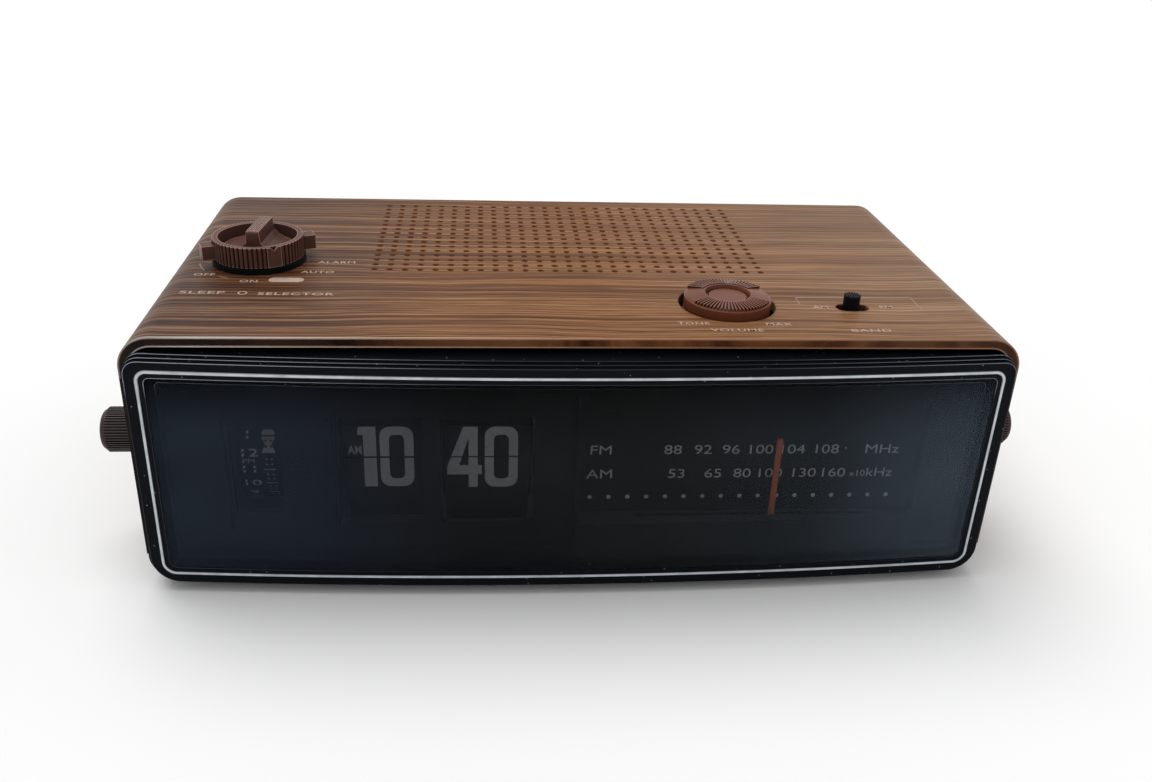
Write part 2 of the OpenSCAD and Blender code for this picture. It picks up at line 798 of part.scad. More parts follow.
module minute_drum() {
    color("#2b2b2e") at([0, clock_y, clock_z]) {
        union() {
            leaf_drum(minute_f0, minute_f1, minute_n, minute_a0);
            along_x(hour_g1 + 0.2, minute_f0) difference() {
                gear_2d(z_minute, clock_m, 0);
                circle(axle_r + run);
            }
            along_x(minute_f1, p4_x0 - 0.2) difference() {
                circle(hub_r);
                circle(axle_r + run);
            }
        }
    }
}

module minute_gear() {
    color("#d8d4c4") at([0, clock_y, clock_z]) along_x(minute_f1, minute_f1 + gear_w) difference() {
        gear_2d(z_wheel, clock_m, 0);
        circle(hub_r + run);
    }
}

module carry_gear() {
    color("#d8d4c4") at([0, carry_y, clock_z]) {
        along_x(carry_x0, carry_x1) difference() {
            gear_2d(z_carry, clock_m, 180 + 180 / z_carry);
            circle(carry_pin_r + run);
        }
        along_x(hour_f1 + gap, carry_x0) difference() {
            gear_2d(z_carry_pin, clock_m, 0);
            circle(carry_pin_r + run);
        }
    }
}

// One leaf on its pivot: the plate stands along +Z, its short tail passes the pivot
module leaf(w, h, tail) {
    translate([-w / 2, -leaf_t / 2, -tail]) cube([w, leaf_t, h + tail]);
    for (s = [-1, 1]) translate([s * (w / 2 + 0.3), 0, 0]) rotate([0, 90, 0])
        cylinder(h = 1.6, r = pin_r, center = true, $fn = 16);
}

// Lean of a leaf whose pivot lies a degrees above the front: upper leaves trail along the drum,
// lower ones hang down, and the first fallen leaf rests a little ahead of the next
function lean(a, a0, step, rest) = a > 0 ? a - a0
    : a < a0 - 180 ? a + 360 - a0
    : a > -step ? 180 + rest : 180;

module leaves(x, w, h, tail, n, a0, rest) {
    step = 360 / n;
    for (k = [1:n - 1]) {
        a = a0 - k * step;
        at([x, clock_y - pivot_r * cos(a), clock_z + pivot_r * sin(a)])
            rotate([-lean(a, a0, step, rest), 0, 0]) leaf(w, h, tail);
    }
}

module hour_leaves() {
    color("#151517") leaves(hour_x, hour_w, hour_h, hour_tail, hour_n, hour_a0, hour_rest);
}

module minute_leaves() {
    color("#151517") leaves(minute_x, minute_w, minute_h, minute_tail, minute_n, minute_a0, minute_rest);
}

module hour_flap() {
    color("#202023") at([hour_x, clock_y - pivot_r * cos(hour_a0), clock_z + pivot_r * sin(hour_a0)])
        leaf(hour_w, hour_h, hour_tail);
}

module minute_flap() {
    color("#202023") at([minute_x, clock_y - pivot_r * cos(minute_a0), clock_z + pivot_r * sin(minute_a0)])
        leaf(minute_w, minute_h, minute_tail);
}

module clock_motor() {
    color("#b0b4b8") at([0, motor_y, clock_z]) difference() {
        union() {
            rod_x(p4_x1, p4_x1 + motor_l, motor_r);
            rod_x(p4_x1 + motor_l - eps, p4_x1 + motor_l + 2, motor_r - 8);
        }
        rod_x(p4_x1 - 1, p4_x1 + 12, motor_shaft_r + run);
    }
}

module motor_pinion() {
    color("#c9a75a") at([0, motor_y, clock_z]) {
        along_x(minute_f1, minute_f1 + gear_w) gear_2d(z_motor, clock_m, 180 + 180 / z_motor);
        rod_x(minute_f1 + gear_w - eps, p4_x1 + 11, motor_shaft_r);
    }
}

module alarm_shaft() {
    color("#b8bcc0") at([0, clock_y, clock_z]) {
        rod_x(-body_w / 2 - end_knob_l + 6, p2_x0 - 0.2, shaft_r);
        rod_x(p2_x0 - 0.2 - eps, p2_x0 + 1.4, axle_r);
    }
}

module alarm_drum() {
    color("#17171a") at([alarm_x, clock_y, clock_z]) difference() {
        rod_x(-alarm_w / 2, alarm_w / 2, alarm_r, $fn = 96);
        difference() {
            rod_x(-alarm_w / 2 + 2, alarm_w / 2 + 1, alarm_r - 1.5);
            rod_x(-alarm_w / 2, alarm_w / 2, shaft_r + 3);
        }
        rod_x(-alarm_w, alarm_w, shaft_r + run);
    }
}

module alarm_knob() {
    color("#5a3a30") at([-body_w / 2 - 0.6, clock_y, clock_z]) mirror([1, 0, 0])
        end_knob(end_knob_l - 0.6, end_knob_r, shaft_r + run, end_knob_l - 6.3);
}

module time_shaft() {
    color("#b8bcc0") at([0, time_y, clock_z]) {
        rod_x(-body_w / 2 - time_knob_l + 4, carry_x0 - 0.2, time_r);
        along_x(carry_x0 - 0.2 - eps, carry_x1 + 0.1) gear_2d(z_time, clock_m, 0);
        rod_x(carry_x1 + 0.1 - eps, p3_x1, time_end_r);
    }
}

module time_knob() {
    color("#5a3a30") at([-body_w / 2 - 0.6, time_y, clock_z]) mirror([1, 0, 0])
        end_knob(time_knob_l - 0.6, time_knob_r, time_r + run, time_knob_l - 4.3);
}

module dial_chassis() {
    color("#a3a6a8") at([0, 0, 0]) difference() {
        union() {
            block(chassis_x0, side_x1, chassis_y, chassis_y + sheet, floor_t, shelf_z);
            block(chassis_x0, side_x1, chassis_y, chassis_y + 9, floor_t, floor_t + sheet);
            block(chassis_foot_x, side_x1, chassis_y, chassis_y1, floor_t, floor_t + sheet);
            block(side_x0, side_x1, cord_y - 4, chassis_y1, floor_t, shelf_z);
            block(wall_x0, wall_x1, chassis_y, chassis_y1, floor_t, shelf_z);
            block(shelf_x0, wall_x1, chassis_y, shelf_y1, shelf_z - sheet, shelf_z);
            block(lamp[0] - 6, lamp[0] + 6, lamp[1] - 4, chassis_y + eps, shelf_z - sheet, shelf_z);
            block(chassis_x0, chassis_x0 + sheet, cord_y - 4, chassis_y + eps, rail_z - 6, rail_z + 6);
            for (z = [cord_z0 - 5.3, cord_z1 + 4.1])
                block(pulley_x - 5, side_x0 + eps, pulley_y - 6, pulley_y + 6, z, z + sheet);
            translate([pulley_x, pulley_y, cord_z0 - 4.2]) cylinder(h = 8.5, r = pulley_pin_r);
            translate([pulley_x, pulley_y, cord_z1 - 4.3]) cylinder(h = 8.5, r = pulley_pin_r);
            translate([left_x, 0, tune_z]) rod_y(cord_y - 3.5, chassis_y + eps, pulley_pin_r);
        }
        block(pulley_x - 8, side_x0, chassis_y - 1, chassis_y + sheet + 1, cord_z0 - 8, cord_z1 + 8);
        translate([0, tune_y, tune_z]) rod_x(wall_x0 - 1, side_x1 + 1, shaft_r + run);
        translate([0, cap_y, tune_z]) rod_x(wall_x0 - 1, wall_x1 + 1, cap_bush_r + run);
        translate([0, cord_y, rail_z]) rod_x(chassis_x0 - 1, side_x1 + 1, rail_r + run);
    }
}

module tuning_shaft() {
    color("#b8bcc0") at([0, tune_y, tune_z]) difference() {
        union() {
            rod_x(wall_x0, body_w / 2 + end_knob_l - 6, shaft_r);
            along_x(tune_gear_x0, tune_gear_x1) gear_2d(z_tune, tune_m, 0);
            rod_x(drum_x - 2.5, drum_x + 2.5, cord_drum_r + 1.5);
        }
        translate([drum_x, 0, 0]) rotate([0, 90, 0]) rotate_extrude($fn = 64)
            translate([cord_drum_r + 1.5, 0])
                square([2 * (1.5 + cord_r + 0.1), 2 * cord_r + 0.6], center = true);
    }
}

module tuning_knob() {
    color("#5a3a30") at([body_w / 2 + 0.6, tune_y, tune_z])
        end_knob(end_knob_l - 0.6, end_knob_r, shaft_r + run, end_knob_l - 6.3);
}

module tuning_capacitor() {
    color("#d9d5c8") at([0, cap_y, tune_z]) difference() {
        union() {
            translate([wall_x0 - cap_body[0], -cap_body[1] / 2, -cap_body[2] / 2]) cube(cap_body);
            rod_x(wall_x0 - eps, wall_x1 + 2, cap_bush_r);
        }
        rod_x(wall_x0 - 8, wall_x1 + 3, cap_shaft_r + run);
    }
}

module capacitor_gear() {
    color("#d8d4c4") at([0, cap_y, tune_z]) {
        along_x(tune_gear_x0 + 0.2, tune_gear_x1 - 0.2) gear_2d(z_cap, tune_m, 180 + 180 / z_cap);
        rod_x(wall_x0 - 7, tune_gear_x1 - 0.2, cap_shaft_r);
    }
}

module pointer_rail() {
    color("#b8bcc0") at([0, cord_y, rail_z]) rod_x(chassis_x0 - 0.5, side_x1, rail_r);
}

module dial_pointer() {
    color("#b4482c") at([pointer_x, 0, 0]) difference() {
        union() {
            block(-5, 5, cord_y - 2.8, cord_y + 2.8, rail_z - 3, rail_z + 3);
            block(-3, 3, cord_y + cord_r + 0.2, cord_y + 2.8, rail_z, cord_z0 + 1.5);
            block(-1.5, 1.5, -pointer_t / 2, cord_y, rail_z - 3, rail_z - 1.6);
            block(-pointer_w / 2, pointer_w / 2, -pointer_t / 2, pointer_t / 2, rail_z - 3, pointer_top);
        }
        translate([0, cord_y, rail_z]) rod_x(-10, 10, rail_r + run);
    }
}

// The cord runs both ways along the dial, round the left pulley, and over the corner pulleys to the drum
cord_turns = 12;
function bend(c, u, v, r, a0, a1) = [for (i = [0:cord_turns])
    let (a = a0 + (a1 - a0) * i / cord_turns) c + r * cos(a) * u + r * sin(a) * v];
ax = [1, 0, 0];
ay = [0, 1, 0];
az = [0, 0, 1];
cord_path = concat(
    bend([pulley_x, pulley_y, cord_z0], ax, ay, cord_pulley_r, -90, 0),
    bend([drum_x, tune_y, tune_z], ay, az, cord_drum_r, -90, 90),
    bend([pulley_x, pulley_y, cord_z1], ax, ay, cord_pulley_r, 0, -90),
    bend([left_x, cord_y, tune_z], ax, az, cord_drum_r, 90, 270));
cord_sides = 8;
function unit(v) = v / norm(v);
function ring_at(p, t) = let (n = unit(cross(t, [1, 1, 1])), b = cross(t, n))
    [for (j = [0:cord_sides - 1]) let (w = j * 360 / cord_sides) p + cord_r * (cos(w) * n + sin(w) * b)];

module dial_cord() {
    n = len(cord_path);
    m = cord_sides;
    rings = [for (i = [0:n - 1])
        let (on = cord_path[(i + 1) % n] - cord_path[i], back = cord_path[i] - cord_path[(i + n - 1) % n])
        each ring_at(cord_path[i], unit(unit(on) + unit(back)))];
    walls = [for (i = [0:n - 1], j = [0:m - 1]) let (k = (i + 1) % n, l = (j + 1) % m)
        each [[i * m + j, i * m + l, k * m + j], [k * m + j, i * m + l, k * m + l]]];
    color("#d8c8a0") at([0, 0, 0]) polyhedron(points = rings, faces = walls);
}

module pulley(r) {
    rotate_extrude() difference() {
        translate([pulley_pin_r + run, -2.4]) square([r + 1 - pulley_pin_r - run, 4.8]);
        translate([r - cord_r - 0.1, -cord_r - 0.3]) square([4, 2 * cord_r + 0.6]);
    }
}

module cord_pulley_left() {
    color("#e4e0d2") at([left_x, cord_y, tune_z]) rotate([90, 0, 0]) pulley(cord_drum_r);
}

module cord_pulley_lower() {
    color("#e4e0d2") at([pulley_x, pulley_y, cord_z0]) pulley(cord_pulley_r);
}

module cord_pulley_upper() {
    color("#e4e0d2") at([pulley_x, pulley_y, cord_z1]) pulley(cord_pulley_r);
}

// Volume knob: smooth skirt, raised rim with radial ribs front and back, sunk disc in the middle
module volume_knob() {
    top = body_h + vol_h;
    color("#643c30") at([vol_x, vol_y, 0]) {
        union() {
            rotate_extrude($fn = 96) polygon([[0, shelf_z + 6], [vol_shaft_r, shelf_z + 6],
                [vol_shaft_r, top_in - 8], [5, top_in - 8], [5, top - 4], [vol_r - 2, top - 3.4],
                [vol_r - 2, top_in - 6], [vol_r, top_in - 6], [vol_r, top - 1.5], [vol_r - 0.9, top - 0.9],
                [8.4, top], [7.9, top], [7.3, top - 1.6], [6.7, top - 1.6], [6.4, top - 1], [0, top - 1]]);
            for (s = [0, 180], a = [-60:5:60]) rotate(s - 90 + a) translate([8.6, -0.25, top - 1.4])
                rotate([0, 4, 0]) cube([vol_r - 9, 0.5, 1.6]);
        }
    }
}

module volume_pot() {
    color("#9a9a9c") at([vol_x, vol_y, shelf_z]) difference() {
        union() {
            cylinder(h = pot_h, r = 12);
            translate([0, 0, pot_h - eps]) cylinder(h = 4, r = 4.5);
        }
        translate([0, 0, 5]) cylinder(h = pot_h, r = vol_shaft_r + run);
    }
}

module band_slider() {
    color("#0e1013") at([band_x + band_rest, band_y, 0]) difference() {
        union() {
            translate([0, 0, top_in - gap - eps]) cylinder(h = wall + gap + band_h + eps, r = button_r);
            block(-plate[0] / 2, plate[0] / 2, -plate[1] / 2, plate[1] / 2,
                top_in - gap - plate[2], top_in - gap);
            block(-stem[0] / 2, stem[0] / 2, -stem[1] / 2, stem[1] / 2,
                shelf_z + 3.5, top_in - gap - plate[2] + eps);
        }
        for (i = [-3:3]) translate([i * rib_p, 0, body_h + band_h])
            block(-rib_p / 4, rib_p / 4, -slot_w, slot_w, -rib_p / 2, 1);
    }
}

module band_switch() {
    color("#a8a8aa") at([band_x, band_y, shelf_z]) difference() {
        translate([-9, -4, 0]) cube([18, 8, 8]);
        translate([-(band_travel + stem[0]) / 2 - gap, -stem[1] / 2 - gap, 3])
            cube([band_travel + stem[0] + 2 * gap, stem[1] + 2 * gap, 10]);
    }
}

module selector_base() {
    color("#0c0c0d") at([select_x, select_y, body_h]) difference() {
        cylinder(h = base_t, r = ring_r + 0.5, $fn = 96);
        translate([0, 0, -1]) cylinder(h = base_t + 2, r = bush_r + gap);
    }
}

// Selector ring: fluted wall with two lugs and a notched pointer rib
module selector_ring() {
    color("#50382f") at([select_x, select_y, ring_z]) difference() {
        union() {
            linear_extrude(ring_h) union() {
                circle(ring_r - flute, $fn = 96);
                for (a = [0:6:354]) rotate(a) translate([ring_r - flute, 0]) circle(flute, $fn = 16);
                rotate(-60) translate([ring_r - 1.5, -lug_w / 2]) square([1.6, lug_w]);
            }
            for (s = [0, 180]) rotate(select_lug_a + s) translate([ring_r - 2, -lug_w / 2, lug_z[0]])
                cube([lug_r - ring_r + 2, lug_w, lug_z[1] - lug_z[0]]);
        }
        translate([0, 0, -1]) cylinder(h = ring_h + 2, r = ring_r - ring_t, $fn = 96);
        rotate(-60) translate([ring_r - 1.2, 0, ring_h]) rotate([45, 0, 0])
            translate([0, -notch / 2, -notch / 2]) cube([3, notch, notch]);
    }
}

// Web inside the ring, on the hollow spindle that turns the switch
module selector_hub() {
    foot = top_in - spindle + 1 - ring_z;
    color("#50382f") at([select_x, select_y, ring_z]) difference() {
        union() {
            cylinder(h = web_t, r = ring_r - ring_t - run, $fn = 96);
            translate([0, 0, foot]) cylinder(h = web_t - foot, r = select_tube_r);
        }
        translate([0, 0, foot - 1]) cylinder(h = web_t - foot + 2, r = sleep_r + run);
    }
}

// Sleep knob: a dish inside the ring with a bar grip whose flanks flare into the floor
module sleep_knob() {
    r = ring_r - ring_t - dish_gap;
    dish_z = ring_z + web_t + gap;
    half = grip_w / 2;
    color("#50382f") at([select_x, select_y, dish_z]) rotate(sleep_a) {
        union() {
            translate([0, 0, top_in - spindle - dish_z])
                cylinder(h = dish_z - top_in + spindle + 1, r = sleep_r);
            difference() {
                union() {
                    cylinder(h = dish_t, r = r, $fn = 96);
                    intersection() {
                        rotate([90, 0, 0]) translate([0, 0, -r]) linear_extrude(2 * r)
                            polygon([[-8, dish_t - 0.4], [-4.6, dish_t + 0.8], [-half - 0.4, dish_t + 2.4],
                                [-half, grip_h], [half, grip_h], [half + 0.4, dish_t + 2.4],
                                [4.6, dish_t + 0.8], [8, dish_t - 0.4]]);
                        cylinder(h = 20, r = r, $fn = 96);
                    }
                }
                for (i = [-3:3]) translate([i * grip_w / 7.2, 0, grip_h])
                    block(-0.14, 0.14, -20, 20, -0.4, 1);
                block(-r, r, -r, -grip_front, dish_t, 20);
            }
        }
    }
}

module selector_switch() {
    color("#9a9a9c") at([select_x, select_y, 0]) difference() {
        union() {
            translate([0, 0, top_in - switch_h]) cylinder(h = switch_h, r = switch_r);
            translate([0, 0, top_in - eps]) cylinder(h = wall + base_t - gap, r = bush_r);
        }
        translate([0, 0, top_in - spindle - 1])
            cylinder(h = spindle + wall + base_t + 2, r = select_tube_r + run);
    }
}

module speaker_basket() {
    color("#77797c") at([cone_x, speaker_y, -run]) difference() {
        union() {
            rotate_extrude($fn = 72) polygon([[mouth_r, top_in], [basket_r, top_in],
                [basket_r, top_in - rim_t], [basket_r - 1, top_in - rim_t], [magnet_r + 3, basket_z],
                [throat_r, basket_z], [throat_r, basket_z + rim_t], [magnet_r + 2.4, basket_z + rim_t],
                [mouth_r, top_in - 3.2]]);
            for (a = [45:90:315]) rotate(a) translate([0, 0, top_in])
                block(basket_r - 0.5, ear_r + 3, -ear_w / 2, ear_w / 2, -rim_t, 0);
        }
        for (a = [45:90:315]) rotate(a) translate([ear_r, 0, top_in - 5])
            cylinder(h = 10, r = ear_screw_r + gap);
        for (a = [0:60:300]) rotate(a) translate([magnet_r + 5, -5, basket_z - 2])
            cube([mouth_r - magnet_r - 7.4, 10, top_in - basket_z]);
    }
}

module speaker_cone() {
    rim = mouth_r - 0.4;
    neck = basket_z + 3.6;
    color("#2a2622") at([cone_x, speaker_y, 0]) rotate_extrude($fn = 72) polygon([[0, neck + 2.4],
        [coil_r, neck], [coil_r, basket_z - 3], [coil_r + coil_t, basket_z - 3], [coil_r + coil_t, neck],
        [rim - 4, top_in - 3.9], [rim, top_in - 2.3], [rim, top_in - 1.7], [rim - 4.4, top_in - 3.1],
        [coil_r + 0.4, neck + 1.4], [0, neck + 4.4]]);
}

module speaker_magnet() {
    color("#55565a") at([cone_x, speaker_y, -run]) rotate_extrude($fn = 72) polygon([[0, magnet_z],
        [magnet_r, magnet_z], [magnet_r, basket_z], [coil_r + coil_t + coil_play, basket_z],
        [coil_r + coil_t + coil_play, magnet_z + 4], [coil_r - coil_play, magnet_z + 4],
        [coil_r - coil_play, basket_z], [0, basket_z]]);
}

module speaker_screws() {
    color("#9a9a9a") at([cone_x, speaker_y, top_in - rim_t - run]) for (a = [45:90:315]) rotate(a)
        translate([ear_r, 0, 0]) {
            translate([0, 0, -rim_t]) cylinder(h = rim_t, r = 2 * ear_screw_r);
            cylinder(h = rim_t + 1.6, r = ear_screw_r);
        }
}

module circuit_board() {
    color("#8a5a2a") at([0, 0, 0]) block(board[0], board[1], board[2], board[3], board_z, board_z + board_t);
}

module coil_cans() {
    color("#c0c2c4") for (x = can_x) at([x - can[0] / 2, can_y - can[1] / 2, board_z + board_t]) cube(can);
}

module capacitors() {
    color("#2f4a7a") for (x = smooth_x) at([x, smooth_y, board_z + board_t])
        cylinder(h = smooth_h, r = smooth_r);
}

module transformer() {
    color("#4c4c50") at([core_at[0], core_at[1], floor_t]) difference() {
        translate([-core[0] / 2, -core[1] / 2, 0]) cube(core);
        block(-core[0] / 2 + core_leg, core[0] / 2 - core_leg, -core[1], core[1],
            core_leg, core[2] - core_leg);
    }
}

module transformer_coil() {
    color("#b58a3c") at([core_at[0], core_at[1], floor_t]) block(-core[0] / 2 + core_leg + gap,
        core[0] / 2 - core_leg - gap, -coil_d / 2, coil_d / 2, core_leg, core[2] - core_leg - gap);
}

module ferrite_rod() {
    color("#3a3836") at([0, rod_y, rod_z]) rod_x(-rod_l / 2, rod_l / 2, rod_r);
}

module rod_holders() {
    color("#d8d4c4") for (x = [-rod_hold_x, rod_hold_x]) at([x, rod_y, 0]) difference() {
        block(-4, 4, -7, 7, board_z + board_t, rod_z + 8);
        translate([0, 0, rod_z]) rod_x(-5, 5, rod_r + run);
    }
}

module aerial_coil() {
    color("#b5672a") at([0, rod_y, rod_z]) difference() {
        rod_x(aerial_x[0], aerial_x[1], rod_r + 1.4);
        rod_x(aerial_x[0] - 1, aerial_x[1] + 1, rod_r + run);
    }
}

module dial_lamp() {
    color("#e8e4d0") at([lamp[0], lamp[1], shelf_z]) {
        cylinder(h = 8, r = 3.4);
        translate([0, 0, 8 - eps]) cylinder(h = 4, r = 2.6);
        translate([0, 0, 12]) sphere(r = 2.6);
    }
}

cabinet();
base_tray();
rear_cover();
front_bezel();
trim_line();
front_lens();
dial_panel();
rubber_feet();
base_screws();
rear_screws();
clock_frame();
drum_axle();
hour_drum();
hour_leaves();
hour_flap();
minute_drum();
minute_leaves();
minute_flap();
minute_gear();
carry_gear();
clock_motor();
motor_pinion();
alarm_shaft();
alarm_drum();
alarm_knob();
time_shaft();
time_knob();
dial_chassis();
tuning_shaft();
tuning_knob();
tuning_capacitor();
capacitor_gear();
pointer_rail();
dial_pointer();
dial_cord();
cord_pulley_left();
cord_pulley_lower();
cord_pulley_upper();
volume_knob();
volume_pot();
band_slider();
band_switch();
selector_base();
selector_ring();
selector_hub();
sleep_knob();
selector_switch();
speaker_basket();
speaker_cone();
speaker_magnet();
speaker_screws();
circuit_board();
coil_cans();
capacitors();
transformer();
transformer_coil();
ferrite_rod();
rod_holders();
aerial_coil();
dial_lamp();
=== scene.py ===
"""Looks of the flip clock radio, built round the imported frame: materials, print, light and camera."""
import json
import math

import bmesh
import bpy
from mathutils import Matrix, Vector
from mathutils.geometry import tessellate_polygon


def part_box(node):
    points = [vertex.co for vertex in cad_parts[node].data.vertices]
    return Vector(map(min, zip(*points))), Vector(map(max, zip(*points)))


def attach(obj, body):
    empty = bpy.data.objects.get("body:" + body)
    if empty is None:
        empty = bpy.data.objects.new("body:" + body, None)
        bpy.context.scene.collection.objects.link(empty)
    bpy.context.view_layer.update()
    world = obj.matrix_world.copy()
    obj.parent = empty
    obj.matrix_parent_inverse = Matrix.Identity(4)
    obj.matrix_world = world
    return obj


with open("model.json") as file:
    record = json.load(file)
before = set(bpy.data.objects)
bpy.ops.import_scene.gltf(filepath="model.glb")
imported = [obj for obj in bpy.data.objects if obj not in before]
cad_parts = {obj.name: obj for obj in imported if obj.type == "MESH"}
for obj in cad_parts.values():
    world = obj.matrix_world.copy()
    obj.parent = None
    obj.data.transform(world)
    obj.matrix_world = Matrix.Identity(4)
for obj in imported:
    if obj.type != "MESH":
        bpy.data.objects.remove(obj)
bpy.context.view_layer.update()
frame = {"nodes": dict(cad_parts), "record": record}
nodes = frame["nodes"]

# Sizes here are millimetres: x to the right, y back from the sleeve's front edge, z up from the tray
MM = 0.001
FRONT_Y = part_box("cabinet")[0].y
TRAY_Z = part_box("base_tray")[0].z
TOP_Z = (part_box("cabinet")[1].z - TRAY_Z) / MM
HALF_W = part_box("cabinet")[1].x / MM


def y_at(y):
    """A distance behind the front edge, as metres along the row's y."""
    return FRONT_Y + y * MM


def z_at(z):
    """A height above the tray's underside, as metres along the row's z."""
    return TRAY_Z + z * MM


def place(x, y, z):
    return Vector((x * MM, y_at(y), z_at(z)))


def add_object(name, data):
    made = bpy.data.objects.new(name, data)
    bpy.context.scene.collection.objects.link(made)
    return made


# Camera, solved from the cabinet's edges in the photograph
CAM_AT = (-33.226, -319.931, 228.863)
CAM_YAW = -5.532
CAM_PITCH = -26.161
CAM_ROLL = -2.389
FOCAL_PX = 1106.1
IMAGE_W = 1152
SENSOR_MM = 36.0
NEAREST = 10.0


def make_camera():
    turn = (
        Matrix.Rotation(math.radians(CAM_YAW), 3, "Z")
        @ Matrix.Rotation(math.radians(CAM_PITCH), 3, "X")
        @ Matrix.Rotation(math.radians(CAM_ROLL), 3, "Y")
    )
    right, ahead, up = turn.col
    data = bpy.data.cameras.new("camera")
    data.sensor_fit = "HORIZONTAL"
    data.sensor_width = SENSOR_MM
    data.lens = FOCAL_PX / IMAGE_W * SENSOR_MM
    data.clip_start = NEAREST * MM
    pose = Matrix((right, up, -ahead)).transposed().to_4x4()
    pose.translation = place(*CAM_AT)
    cam = add_object("camera", data)
    cam.matrix_world = pose
    bpy.context.scene.camera = cam


# Materials: tones are screen values from 0 to 255, noise scales are cells per metre
WHITE = (255, 255, 255)


def linear(r, g, b):
    """A screen colour, for a shader socket."""
    return tuple(((c / 255 + 0.055) / 1.055) ** 2.4 if c > 10 else c / 3294.6 for c in (r, g, b)) + (1.0,)


def shade(colour, share):
    """A socket colour made darker or lighter."""
    return tuple(min(1.0, c * share) for c in colour[:3]) + (1.0,)


# Sockets of a colour mix, which the node lists after those for numbers and vectors
MIX_A = 6
MIX_B = 7
MIX_OUT = 2

# The turn of a softened edge and the open air round it, over which an arris comes to full strength
ARRIS_TURN = (0.995, 0.94)
ARRIS_AIR = (0.85, 0.97)
ARRIS_SAMPLES = 8
EDGE_SAMPLES = 6

# How far a face looks up or forwards where it counts as level, a ledge, a cut front edge or a wall
UP = (0, 0, 1)
FORWARDS = (0, -1, 0)
LEVEL_FACE = 0.9
LEDGE_FACE = 0.7
FRONT_FACE = 0.6
WALL_FACE = 0.5


